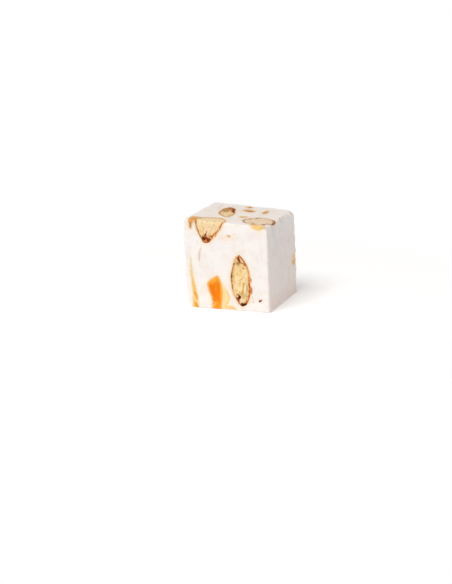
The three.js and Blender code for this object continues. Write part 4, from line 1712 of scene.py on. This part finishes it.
PEELS = {
    "peel_front": Peel(
        FRONT, 4.2, Tone.BRIGHT,
        ((-4.1, 13.25), (-5.4, 12.5), (-7.2, 11.2), (-8.05, 9.8), (-7.5, 7.6), (-6.6, 5.2),
         (-6.1, 3.2), (-5.9, -1.5), (-2.75, -1.5), (-2.3, 1.6), (-1.85, 5.4), (-1.95, 8.2),
         (-2.5, 10.8), (-3.2, 12.5)),
        FRONT_PEEL_MARKS,
    ),
    "peel_streak": Peel(
        FRONT, 1.8, Tone.HONEY,
        ((-15.0, 19.8), (-15.15, 15.4), (-14.85, 12.4), (-14.45, 9.0), (-14.2, 5.6),
         (-14.15, 2.6), (-14.0, -1.5), (-11.7, -1.5), (-12.2, 2.2), (-12.3, 4.4), (-12.85, 6.9),
         (-13.55, 10.2), (-14.15, 12.9), (-14.6, 16.2)),
        STREAK_MARKS, halo=0.35, sunk=0.04,
    ),
    "peel_corner": Peel(
        FRONT, 5.4, Tone.AMBER,
        ((-16.2, 37.0), (-15.7, 35.3), (-15.25, 33.6), (-15.05, 31.9), (-14.55, 31.9),
         (-14.25, 33.3), (-13.5, 34.3), (-11.7, 34.7), (-11.0, 37.0)),
        CORNER_PEEL_MARKS, sunk=0.05,
    ),
    "peel_under_almond": Peel(
        FRONT, 1.3, Tone.HONEY,
        ((10.2, 34.6), (11.0, 33.4), (13.1, 32.6), (15.1, 33.4), (15.9, 34.4), (15.4, 36.5),
         (10.7, 36.5)),
        (Stroke(FRONT, ((11.0, 34.0, 1.0), (13.0, 33.4, 1.6), (15.0, 34.0, 1.0)), 0.6, 0.7,
                "#fbd792"),
         Stroke(FRONT, ((11.4, 34.4, 0.5), (12.2, 33.9, 0.4)), 0.3, 0.7, "#eba84a"),
         Stroke(FRONT, ((14.0, 33.3, 0.5), (14.9, 33.8, 0.4)), 0.3, 0.6, "#f0b459")),
        sunk=0.05,
    ),
    "peel_top_back": Peel(
        TOP, 1.6, Tone.AMBER, ((-2.4, 13.4), (-1.2, 11.8), (0.0, 13.6), (-1.6, 15.0)),
    ),
    "peel_top_leaf": Peel(
        TOP, 2.4, Tone.AMBER,
        ((-1.9, 7.6), (0.0, 5.7), (2.1, 5.3), (3.6, 7.1), (1.6, 9.3), (-0.4, 9.4)),
    ),
    "peel_top_strip": Peel(
        TOP, 2.0, Tone.AMBER,
        ((8.0, 3.6), (9.0, 5.2), (8.7, 7.8), (8.0, 10.0), (7.1, 8.8), (6.9, 6.0)),
        (Stroke(TOP, ((7.9, 4.6, 1.4), (7.8, 7.0, 1.4)), 0.6, 0.6, "#ddb070"),), sunk=0.05,
    ),
    "peel_top_middle": Peel(
        TOP, 1.6, Tone.HONEY,
        ((0.6, -3.9), (2.4, -5.3), (4.3, -3.7), (3.2, -2.2), (1.8, -2.2)),
        (Stroke(TOP, ((1.6, -3.4, 2.0), (3.0, -3.6, 2.0)), 0.8, 0.8, "#ddb27c"),),
    ),
    "peel_right_edge": Peel(
        RIGHT, 2.6, Tone.HONEY,
        ((19.0, 16.4), (14.0, 17.0), (11.6, 16.3), (11.2, 14.3), (12.6, 12.6), (19.0, 11.8)),
        (Stroke(RIGHT, ((12.6, 15.4, 3.0), (15.6, 15.0, 4.0)), 1.0, 0.8, "#f3dcb6"),
         Stroke(RIGHT, ((12.4, 13.6, 1.0), (15.0, 12.9, 1.0)), 0.5, 0.7, "#dcb880")),
    ),
    "peel_left_foot": Peel(
        LEFT, 3.2, Tone.AMBER,
        ((4.9, 4.6), (8.0, 3.4), (11.8, 4.8), (10.9, 8.2), (8.6, 10.4), (6.3, 8.4)),
        (Stroke(LEFT, ((7.0, 5.6, 1.2), (9.2, 6.4, 1.6), (9.0, 8.6, 1.0)), 0.6, 0.7, "#b2651e"),
         Stroke(LEFT, ((6.6, 7.2, 0.4), (7.6, 8.6, 0.4)), 0.2, 0.6, "#eec088"),),
    ),
    "peel_left_leaf": Peel(
        LEFT, 1.8, Tone.BRIGHT,
        ((-13.6, 27.0), (-11.6, 27.2), (-8.8, 29.9), (-9.4, 30.9), (-11.9, 30.0)),
    ),
    "peel_back_crescent": Peel(
        BACK, 3.6, Tone.AMBER,
        ((-0.6, 6.8), (1.6, 10.6), (5.4, 12.6), (9.6, 11.4), (12.6, 7.6), (12.9, 3.6),
         (11.4, 2.9), (9.8, 5.6), (6.6, 8.0), (3.2, 6.9), (0.8, 5.6)),
        (Stroke(BACK, ((1.6, 7.6, 1.0), (4.6, 10.2, 1.6), (8.6, 9.6, 1.6), (11.4, 6.4, 1.0)), 0.6,
                0.7, "#b2651e"),
         Stroke(BACK, ((3.0, 10.6, 0.3), (6.0, 11.6, 0.3)), 0.2, 0.6, "#efc48c"),),
    ),
    "peel_back_speck": Peel(
        BACK, 1.6, Tone.BRIGHT, ((0.4, 29.2), (1.9, 28.1), (2.9, 29.6), (1.9, 31.0)),
    ),
    "peel_foot": Peel(
        FOOT, 2.2, Tone.BRIGHT,
        ((6.4, 5.6), (9.0, 4.0), (12.0, 5.4), (11.2, 8.2), (8.2, 8.6)),
    ),
}

# ------------------------------------------------------------------ the block's own marks and painted light

WHITE = "#f5efeb"
SYRUP = "#fccb72"
DEEP_SYRUP = "#f8c05e"
TAN = "#d3b48c"

# what has bled into the nougat: colour, strength, and reach in mm or in halos of the peel
WIDE_OIL, CLOSE_OIL = ("#fee5c4", 0.55, 0.9), ("#fdce94", 0.8, 0.5)
WIDE_SYRUP, CLOSE_SYRUP = ("#fce8c8", 0.5, 2), 0.8
TURNED_AWAY = -0.3  # the cosine to a peel's face below which a surface gets none of its syrup
OUT_OF_REACH = 99.0  # mm

# syrup, oil and knife marks on the block's faces, with painted shade and highlights among them
STAINS_AND_PAINTED_LIGHT = (
    # painted shade: the whole top tinted a little darker and warmer
    Stroke(TOP, ((-10.0, 0.0, 30.0), (10.0, 0.0, 30.0)), 6.0, 0.3, "#f3dfca"),
    # painted shade: the right side, turned from the key light, tinted a little darker and pinker
    Stroke(RIGHT, ((-10.0, 14.0, 28.0), (10.0, 14.0, 28.0)), 6.0, 0.45, "#f2e2da"),
    # painted shade and painted warm bounce light, darker and warmer towards the foot of the right
    # side
    Stroke(RIGHT, ((-15.0, 2.0, 6.0), (15.0, 2.0, 6.0)), 5.0, 0.4, "#eed8cc"),
    # pale syrup that ran to the right of the large piece of peel and along the foot
    Stroke(FRONT, ((-1.6, 10.0, 0.8), (-0.9, 7.0, 2.2), (-0.6, 4.0, 2.8), (-1.3, 1.2, 2.0)), 0.8,
           0.85, "#fddda4"),
    Stroke(FRONT, ((-0.3, 7.6, 0.5), (0.6, 6.0, 0.8), (0.8, 4.6, 0.9), (0.2, 3.1, 0.9),
                   (-0.8, 1.4, 0.9)), 0.4, 0.8, SYRUP),
    Stroke(FRONT, ((-1.6, 7.6, 0.4), (-1.0, 5.4, 0.6), (-1.2, 3.2, 0.6)), 0.4, 0.5, SYRUP),
    Stroke(FRONT, ((-0.4, 1.0, 0.9), (1.4, 1.3, 1.2), (2.8, 1.0, 1.2), (3.9, 0.4, 0.6)), 0.5, 0.85,
           SYRUP),
    Stroke(FRONT, ((0.0, 0.7, 0.3), (1.6, 0.9, 0.4), (2.8, 0.6, 0.3)), 0.2, 0.7, "#e9c072", 0.05),
    # and of the yellow piece, between the almond and the edge above it
    Stroke(TOP, ((9.8, -15.6, 1.6), (12.4, -15.8, 1.6), (15.0, -15.4, 1.2)), 0.6, 0.8, "#f5c274"),
    # the faint upper end of the long streak
    Stroke(FRONT, ((-15.3, 23.5, 0.5), (-15.3, 20.5, 0.9), (-15.0, 17.5, 0.9)), 0.6, 0.4,
           "#f9ead2"),
    Stroke(FRONT, ((-14.4, 12.0, 1.2), (-13.4, 7.0, 2.2), (-13.0, 1.0, 2.6)), 0.8, 0.3, "#fde6bf"),
    # thin tan threads
    Stroke(FRONT, ((-10.2, 24.3, 0.2), (-10.9, 23.2, 0.6), (-11.2, 21.2, 0.6), (-11.2, 19.0, 0.5)),
           0.25, 0.7, "#d6ba96", 0.04),
    Stroke(FRONT, ((-11.2, 17.2, 0.3), (-11.2, 16.6, 0.2)), 0.3, 0.4, TAN),
    Stroke(FRONT, ((12.4, 22.6, 0.1), (12.7, 20.5, 0.4), (13.2, 17.3, 0.1)), 0.25, 0.35, TAN),
    # warm blush and pale spots
    Stroke(FRONT, ((2.7, 29.2, 1.6), (-0.4, 28.3, 2.4)), 2.0, 0.3, "#fce0bc"),
    Stroke(FRONT, ((0.4, 29.3, 0.8), (1.6, 29.2, 0.8)), 0.7, 0.75, "#fbdca4"),
    Stroke(FRONT, ((0.45, 29.65, 0.3), (1.0, 29.5, 0.55), (1.5, 29.4, 0.35)), 0.2, 0.9, "#c08a3c",
           0.02),
    Stroke(FRONT, ((3.2, 30.2, 0.3), (3.9, 30.4, 0.2)), 0.3, 0.6, "#f3c48c"),
    Stroke(FRONT, ((5.3, 30.1, 0.2),), 0.4, 0.5, "#f3d8b4"),
    Stroke(FRONT, ((-0.1, 18.4, 0.8),), 0.8, 0.5, "#fae6bf"),
    Stroke(FRONT, ((-3.2, 20.8, 0.2),), 0.3, 0.35, "#e3bdb4"),
    Stroke(FRONT, ((-12.0, 26.5, 0.5),), 0.4, 0.4, "#cfc0a0"),
    # crumbs of skin drawn along by the knife, low on the right
    Stroke(FRONT, ((9.3, 3.8, 0.4),), 0.18, 0.9, "#c08e52", 0.05),
    Stroke(FRONT, ((10.4, 3.9, 0.25), (11.1, 4.1, 0.35)), 0.18, 0.85, "#cfa872"),
    Stroke(FRONT, ((10.5, 6.0, 0.3), (10.7, 4.7, 0.35)), 0.2, 0.7, "#dab67e"),
    Stroke(FRONT, ((13.0, 7.3, 0.3),), 0.2, 0.7, "#d6c09c"),
    Stroke(FRONT, ((14.3, 7.2, 0.5),), 0.25, 0.7, "#e2c88e"),
    Stroke(FRONT, ((13.7, 4.7, 1.2),), 0.7, 0.6, "#f8bd90"),
    # orange crust against the lower right flank of the corner almond
    Stroke(FRONT, ((-6.0, 27.8, 0.8), (-4.9, 28.9, 1.1), (-4.0, 30.4, 0.9), (-2.8, 32.4, 0.5)), 0.4,
           0.85, "#fdcc84"),
    Stroke(FRONT, ((-4.5, 28.9, 0.4), (-4.3, 29.8, 0.6), (-3.8, 30.9, 0.45), (-2.9, 32.6, 0.3)),
           0.18, 0.95, "#e08a2e", -0.05),
    # bright crust on the right flank of the front almond
    Stroke(FRONT, ((9.85, 13.4, 0.3), (9.95, 12.8, 0.4), (9.85, 11.9, 0.3)), 0.16, 0.95,
           "#c06e22", -0.08),
    Stroke(FRONT, ((9.7, 10.4, 0.4), (10.0, 9.4, 0.9), (9.9, 8.2, 0.9), (9.75, 7.2, 0.5)), 0.2,
           0.95, "#f29a46", -0.12),
    Stroke(FRONT, ((10.25, 9.8, 0.2), (10.3, 9.0, 0.3), (10.2, 8.0, 0.3), (10.0, 7.3, 0.25)), 0.15,
           0.9, "#c87630", -0.06),
    Stroke(FRONT, ((-5.3, 27.8, 0.35),), 0.25, 0.7, "#bca46c", 0.06),
    Stroke(FRONT, ((-2.6, 28.7, 0.3), (-1.2, 28.8, 0.3)), 0.4, 0.4, "#f8d4b0"),
    # chipped corner under the right almond and the nicked edge behind it: painted shade in the chip
    Stroke(FRONT, ((16.0, 33.7, 1.0), (16.8, 34.4, 1.2)), 0.4, 0.6, "#cfc2b2"),
    Stroke(TOP, ((15.4, -15.6, 1.2), (16.6, -14.8, 1.2)), 0.6, 0.5, "#cfc2b2"),
    # painted shade in a nick of the top edge of the right side
    Stroke(RIGHT, ((-0.6, 33.7, 1.0), (2.8, 34.0, 1.4), (4.4, 33.6, 0.6)), 0.7, 0.45, "#c3b5ae"),
    # painted highlight on a lump of the edge
    Stroke(TOP, ((15.9, -4.4, 0.6), (16.3, -1.4, 1.0)), 0.6, 0.4, "#f6efe2"),
    # tan syrup spots near the back of the edge
    Stroke(TOP, ((15.4, 13.4, 1.0), (14.2, 15.0, 0.8)), 0.7, 0.6, "#f2d2a6"),
    # painted shade beside a lump of the edge
    Stroke(RIGHT, ((13.2, 33.6, 0.8),), 0.5, 0.5, "#bdaeaa"),
    # a buried almond that shows through the top, and faint bits beside it
    Stroke(TOP, ((-12.1, 6.7, 0.7), (-12.4, 10.0, 1.2), (-13.0, 14.0, 0.6)), 0.6, 0.45, "#d6c2aa",
           0.06),
    Stroke(TOP, ((-14.6, -1.5, 0.8), (-13.4, 1.5, 0.8)), 0.8, 0.3, "#dccbbb"),
    # syrup past the end of the corner peel
    Stroke(TOP, ((-15.2, -11.0, 0.8), (-13.6, -11.2, 0.8)), 1.2, 0.7, "#efc492"),
    Stroke(TOP, ((10.0, 10.4, 0.7),), 0.6, 0.5, "#dccaa8"),
    Stroke(TOP, ((-0.9, 10.6, 0.6), (-0.5, 11.6, 0.4)), 0.5, 0.6, "#eec9a0"),
    Stroke(TOP, ((-1.4, 7.0, 0.3), (-1.0, 5.8, 0.3)), 0.3, 0.5, "#cdb49a"),
    Stroke(TOP, ((6.2, 5.4, 0.4), (6.8, 3.6, 0.4)), 0.4, 0.4, "#cdb9a6"),
    Stroke(TOP, ((4.6, 3.4, 0.4),), 0.4, 0.35, "#cfc0a8"),
    Stroke(TOP, ((15.4, 12.8, 1.0),), 0.8, 0.6, "#eccb92"),
    # a smooth patch where the knife pressed, sunk a little, its satin sheen painted as a cool grey:
    # painted reflection
    Stroke(RIGHT, ((-10.6, 34.0, 1.4), (-8.4, 29.0, 3.0), (-6.0, 23.0, 1.0)), 2.0, 0.3, "#cdd3dc",
           0.05),
    # a faint tan thread near the front edge of the right side
    Stroke(RIGHT, ((-13.0, 20.0, 0.2), (-12.6, 12.0, 0.2)), 0.4, 0.2, TAN),
    # the hidden faces
    Stroke(LEFT, ((-4.0, 31.0, 0.2), (-5.2, 28.6, 0.5), (-5.0, 26.4, 0.2)), 0.3, 0.6, TAN, 0.04),
    Stroke(LEFT, ((13.2, 22.0, 0.4), (12.2, 16.0, 1.2), (13.0, 11.0, 0.4)), 0.6, 0.7, SYRUP),
    Stroke(LEFT, ((12.7, 20.0, 0.2), (12.0, 16.0, 0.4), (12.6, 12.4, 0.2)), 0.2, 0.7, DEEP_SYRUP),
    Stroke(LEFT, ((4.6, 27.6, 0.3), (5.4, 28.2, 0.4)), 0.3, 0.6, "#d9ae68"),
    Stroke(BACK, ((-14.0, 12.0, 0.4), (-11.5, 9.5, 1.0), (-11.8, 6.0, 0.8), (-13.8, 3.5, 0.3)), 0.5,
           0.8, SYRUP),
    Stroke(BACK, ((8.0, 31.0, 0.2), (10.6, 28.6, 0.6), (12.0, 25.0, 0.2)), 0.3, 0.6, TAN, 0.04),
    Stroke(BACK, ((-13.6, 30.6, 0.6), (-11.0, 31.6, 0.9), (-9.0, 31.0, 0.4)), 0.5, 0.6, SYRUP),
    Stroke(BACK, ((2.2, 18.0, 0.3), (3.4, 17.2, 0.4)), 0.3, 0.6, "#d9ae68"),
    Stroke(FOOT, ((-12.0, 9.0, 0.4), (-8.0, 11.0, 1.0), (-3.0, 10.0, 0.3)), 0.6, 0.6, SYRUP),
)

BUMPS = (
    # lumps and nicks along the top edge of the right side
    Bump((17.2, -13.4, 34.0), 1.1, 0.28),
    Bump((17.0, -9.6, 34.2), 1.0, -0.45),
    Bump((16.9, -3.4, 33.8), 1.5, 0.45),
    Bump((16.9, 1.8, 33.9), 1.5, -0.75),
    Bump((16.7, 6.4, 34.1), 1.2, 0.5),
    Bump((16.3, 9.4, 33.9), 1.0, -0.3),
    Bump((15.4, 12.6, 33.8), 1.2, 0.35),
    Bump((15.4, 15.4, 33.2), 0.9, -0.3),
    # the chipped corner at the front
    Bump((16.8, -16.8, 34.2), 1.7, -1.25),
    Bump((15.2, -16.0, 34.4), 0.6, 0.16),
    Bump((16.5, -15.2, 34.3), 0.6, -0.35),
    Bump((16.0, -16.8, 33.2), 0.7, -0.25),
    Bump((17.1, -15.8, 32.8), 0.7, 0.2),
    # the wavy upright edges
    Bump((17.5, -16.6, 22.6), 1.0, -0.16),
    Bump((17.5, -16.6, 12.6), 1.4, -0.14),
    Bump((16.8, 16.4, 31.0), 2.0, 0.25),
    Bump((16.8, 16.4, 27.6), 0.9, 0.3),
    Bump((16.9, 16.4, 24.8), 0.9, -0.3),
    Bump((16.9, 16.4, 22.8), 0.7, 0.25),
    Bump((17.0, 16.4, 17.8), 0.8, 0.25),
    Bump((17.1, 16.4, 10.0), 1.0, 0.25),
    Bump((16.8, 16.4, 20.4), 2.6, -0.15),
    Bump((17.0, 16.4, 14.4), 1.8, 0.15),
    Bump((17.2, 16.4, 6.0), 2.5, -0.15),
    Bump((-17.6, 15.8, 30.0), 1.6, -0.3),
)

RUST_FLAKES = (
    Crumb(FRONT, (9.93, 12.7), (1.1, 0.3), 92),
    Crumb(FRONT, (10.1, 9.1), (1.3, 0.6), 95),
    Crumb(FRONT, (10.0, 7.9), (0.9, 0.5), 84),
)

DARK_FLAKES = (
    Crumb(FRONT, (13.5, 4.55), (1.0, 0.8), 12),
    Crumb(FRONT, (13.95, 4.85), (0.9, 0.6), 38),
)


@dataclass
class NougatCube:
    """The cut cube: the block, what is set in it, and the crumbs on it."""

    block: Block
    almonds: dict[str, Almond]
    peels: dict[str, Peel]
    rng: np.random.Generator
    pieces: list[Object] = field(default_factory=list)

    def settle(self, piece: Object, slot: str, material: Material, *nodes: str) -> None:
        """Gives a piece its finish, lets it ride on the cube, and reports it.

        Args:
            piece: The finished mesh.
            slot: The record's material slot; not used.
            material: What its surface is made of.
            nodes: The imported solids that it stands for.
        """
        set_points(piece.data, points_of(piece.data) - self.block.middle)
        piece.data.materials.clear()
        piece.data.materials.append(material)
        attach(piece, "root")
        if nodes:
            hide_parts(*nodes)
        self.pieces.append(piece)
        points = points_of(piece.data)
        size = points.max(axis=0) - points.min(axis=0)
        LOG.info("%-24s %7d faces  %s mm", piece.name, len(piece.data.polygons), size.round(2))
        for node in nodes:
            low, high = (np.array(corner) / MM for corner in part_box(node))
            off = np.abs([points.min(axis=0) - low, points.max(axis=0) - high]).max()
            LOG.info("%-24s within %.2f mm of the packed %s", "", off, node)

    def cut_out(self, name: str, whole: Object, pocket: Object, body: Object) -> Object:
        """Cuts a piece flush with the block, and its pocket out of the block.

        Args:
            name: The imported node's name.
            whole: The piece before the knife; it becomes the cut piece.
            pocket: The same, a little larger.
            body: The block, which is changed.

        Returns:
            The cut piece.
        """
        boolean(whole, body, "INTERSECT")
        keep_largest(whole)
        boolean(body, pocket, "DIFFERENCE")
        discard(pocket)
        whole.name = f"{name}_cut"
        return whole

    def stain_and_light(self, body: Object) -> None:
        """Dyes the block where syrup, oil and knife have marked it, and paints shade and highlights
        on it.

        Args:
            body: The block, with all pockets cut.
        """
        mesh = body.data
        points, normals = points_of(mesh), normals_of(mesh)
        dye_and_light = np.tile(srgb(WHITE), (len(points), 1))
        for almond in self.almonds.values():
            outside = np.maximum(0, -almond.measure(points)["depth"])
            tint, strength, reach = WIDE_OIL
            dye_and_light = mixed(dye_and_light, tint, strength * np.exp(-outside / reach))
            tint, strength, reach = CLOSE_OIL
            dye_and_light = mixed(dye_and_light, tint, strength * np.exp(-((outside / reach) ** 2)))
        for peel in self.peels.values():
            near = (normals @ peel.face.outward) > TURNED_AWAY
            outside = np.full(len(points), OUT_OF_REACH)
            outside[near] = np.maximum(0, -peel.depth(points[near], self.block))
            tint, strength, reach = WIDE_SYRUP
            dye_and_light = mixed(dye_and_light, tint, strength * np.exp(-outside / (reach * peel.halo)))
            close = np.exp(-((outside / peel.halo) ** 2))
            dye_and_light = mixed(dye_and_light, peel.tone.value[0], CLOSE_SYRUP * close)
        # syrup and oil marks, painted shade and painted highlights
        for stroke in self.block.stains_and_light:
            dye_and_light = mixed(dye_and_light, stroke.tint, stroke.cover(points, normals) * stroke.strength)
        store(mesh, "dye_and_light", dye_and_light)

    def build(self) -> None:
        """Makes every piece of the cube in order."""
        flesh = AlmondFlesh().material()
        zest = {tone: CandiedPeel(tone).material() for tone in Tone}
        body = self.block.build()
        LOG.info("block of %d squares", len(body.data.polygons))
        cuts: dict[str, Object] = {}
        for name, almond in self.almonds.items():
            whole, pocket = almond.solid(name, 0), almond.solid("pocket", almond.play)
            cuts[name] = self.cut_out(name, whole, pocket, body)
        for name, peel in self.peels.items():
            whole = peel.solid(name, 0, self.block)
            pocket = peel.solid("pocket", peel.play, self.block)
            cuts[name] = self.cut_out(name, whole, pocket, body)
        keep_largest(body)
        self.stain_and_light(body)
        shade(body, BLOCK_CREASE)
        surface = BVHTree.FromObject(body, bpy.context.evaluated_depsgraph_get())
        self.scatter(surface)
        for name, almond in self.almonds.items():
            almond.dress(cuts[name])
            shade(cuts[name], CUT_CREASE)
            self.settle(cuts[name], "almond_kernel", flesh, name)
        for name, peel in self.peels.items():
            peel.dress(cuts[name], self.block)
            shade(cuts[name], CUT_CREASE)
            slot = f"candied_peel_{peel.tone.name.lower()}"
            self.settle(cuts[name], slot, zest[peel.tone], name)
        self.settle(body, "nougat", NougatPaste().material(), "nougat_body")

    def scatter(self, surface: BVHTree) -> None:
        """Beds the crumbs in the surface: those with a place of their own, then a few more.

        Args:
            surface: The block's surface, in metres.
        """
        dark = list(DARK_FLAKES)
        for face in (LEFT, BACK):
            for _ in range(4):
                across, up = self.rng.uniform(-14, 14), self.rng.uniform(4, 32)
                length = self.rng.uniform(0.3, 0.9)
                size = (length, length * self.rng.uniform(0.4, 0.8))
                dark.append(Crumb(face, (across, up), size, self.rng.uniform(0, 180)))
        kinds = (
            ("rust_flakes", RUST_FLAKES, PaperySkin("rusty_skin", "#bf681e", "#f6a24e")),
            ("dark_flakes", tuple(dark), PaperySkin("dark_skin", "#7a340e", "#a8561c")),
        )
        for name, crumbs, finish in kinds:
            piece = Crumbs(name, crumbs).build(self.block, surface, self.rng)
            self.settle(piece, "almond_kernel", finish.material())


# ------------------------------------------------------------------ the studio

GLOW = (1, 1, 1, 1)  # the white of the backdrop, and of the floor where it melts into it


@dataclass
class Studio:
    """A white studio: floor, backdrop, soft light and the camera. Angles are in degrees."""

    azimuth: float = 20.896
    elevation: float = 14.588
    roll: float = -0.970
    distance: float = 675.73  # mm from the aim point
    aim: tuple[float, float] = (-6.986, 3.215)  # mm to the right of the cube's axis, and up
    aim_shift: float = 0.7
    focal: float = 104.8
    ambient: float = 0.42
    floor_glow: float = 0.22
    floor_radius: float = 1.1  # m
    dome_radius: float = 1.12  # m
    melt: tuple[float, float] = (0.045, 0.13)  # m from the middle, where the floor turns white

    def build(self) -> None:
        """Makes the whole studio."""
        self.camera()
        self.floor()
        self.backdrop()
        self.softbox("key", azimuth=-14, elevation=57, away=0.9, size=0.5, power=5.5)
        view = bpy.context.scene.view_settings
        view.view_transform = "Standard"
        view.look = "None"

    @staticmethod
    def direction(azimuth: float, elevation: float) -> Vector:
        """The direction from the cube to a place round and above it.

        Args:
            azimuth: Degrees round the cube; 0 is in front and 90 to the right.
            elevation: Degrees above the floor.

        Returns:
            The direction, of length 1.
        """
        around, above = math.radians(azimuth), math.radians(elevation)
        level = math.cos(above)
        return Vector((math.sin(around) * level, -math.cos(around) * level, math.sin(above)))

    def camera(self) -> None:
        """Puts the camera at the viewing angle."""
        around, roll = math.radians(self.azimuth), math.radians(self.roll)
        back = self.direction(self.azimuth, self.elevation)
        right = (-back).cross(Vector((0, 0, 1))).normalized()
        up = right.cross(-back)
        turned = right * math.cos(roll) + up * math.sin(roll)
        tilted = up * math.cos(roll) - right * math.sin(roll)
        sideways, level = self.aim
        target = Vector((math.cos(around), math.sin(around), 0)) * sideways
        target += Vector((self.aim_shift, 0, level))
        lens = bpy.data.cameras.new("camera")
        lens.lens = self.focal
        lens.sensor_width = 36
        lens.clip_start, lens.clip_end = 0.01, 10
        camera = put_in_scene("camera", lens)
        pose = Matrix((turned, tilted, back)).transposed().to_4x4()
        pose.translation = (target + back * self.distance) * MM
        camera.matrix_world = pose
        bpy.context.scene.camera = camera

    def floor(self) -> None:
        """Makes the pale floor, which melts into the white backdrop away from the cube."""
        shape = bmesh.new()
        bmesh.ops.create_circle(shape, cap_ends=True, segments=96, radius=self.floor_radius)
        floor = finish_shape("floor", shape)
        material, tree, shader = new_material("white_floor")
        set_sockets(shader, {
            "Base Color": srgb("#f4f3f1"), "Roughness": 0.9, "Specular IOR Level": 0.1,
            "Emission Color": GLOW, "Emission Strength": self.floor_glow,
        })
        coords = add(tree, "ShaderNodeTexCoord").outputs["Object"]
        away = add(tree, "ShaderNodeVectorMath", {"operation": "LENGTH"}, {0: coords})
        near, far = self.melt
        fade = add(
            tree, "ShaderNodeMapRange",
            {"From Min": near, "From Max": far, "interpolation_type": "SMOOTHSTEP"},
            {"Value": away.outputs["Value"]},
        )
        glow = add(tree, "ShaderNodeEmission", {"Color": GLOW, "Strength": 1.0})
        melted = add(
            tree, "ShaderNodeMixShader",
            {},
            {0: fade.outputs[0], 1: shader.outputs[0], 2: glow.outputs[0]},
        )
        output = next(n for n in tree.nodes if n.bl_idname == "ShaderNodeOutputMaterial")
        tree.links.new(melted.outputs[0], output.inputs["Surface"])
        floor.data.materials.append(material)

    def backdrop(self) -> None:
        """Makes the white backdrop that the camera sees, and the soft light of the room."""
        shape = bmesh.new()
        bmesh.ops.create_icosphere(shape, subdivisions=4, radius=self.dome_radius)
        bmesh.ops.reverse_faces(shape, faces=shape.faces)
        dome = finish_shape("backdrop", shape)
        white = bpy.data.materials.new("white_backdrop")
        white.use_nodes = True
        tree = white.node_tree
        tree.nodes.clear()
        glow = add(tree, "ShaderNodeEmission", {"Color": GLOW, "Strength": 1.0})
        add(tree, "ShaderNodeOutputMaterial", {}, {"Surface": glow.outputs[0]})
        dome.data.materials.append(white)
        for ray in ("diffuse", "glossy", "transmission", "shadow"):
            setattr(dome, f"visible_{ray}", False)

        world = bpy.data.worlds.new("soft_room")
        bpy.context.scene.world = world
        world.use_nodes = True
        background = world.node_tree.nodes["Background"]
        background.inputs["Color"].default_value = (1, 0.98, 0.985, 1)
        background.inputs["Strength"].default_value = self.ambient

    def softbox(
        self, name: str, azimuth: float, elevation: float, away: float, size: float, power: float
    ) -> None:
        """Hangs a square soft box that faces the cube.

        Args:
            name: The light's name.
            azimuth: Degrees round the cube; 0 is in front and 90 to the right.
            elevation: Degrees above the floor.
            away: Metres from the cube.
            size: Metres along each side.
            power: Watts.
        """
        box = bpy.data.lights.new(name, "AREA")
        box.shape = "SQUARE"
        box.size = size
        box.energy = power
        lamp = put_in_scene(name, box)
        back = self.direction(azimuth, elevation)
        lamp.location = back * away + Vector((0, 0, 0.017))
        lamp.rotation_mode = "QUATERNION"
        lamp.rotation_quaternion = back.to_track_quat("Z", "Y")


def corners(box: tuple[Vector, Vector]) -> list[list[float]]:
    """A box's two corners as plain lists."""
    return [list(corner) for corner in box]


def main() -> None:
    """Builds the cube in its studio."""
    logging.basicConfig(level=logging.INFO, format="%(name)s: %(message)s", force=True)
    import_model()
    Studio().build()
    block = Block(bumps=BUMPS, stains_and_light=STAINS_AND_PAINTED_LIGHT)
    cube = NougatCube(block, ALMONDS, PEELS, np.random.default_rng(SEED))
    cube.build()


if __name__ == "__main__":
    main()
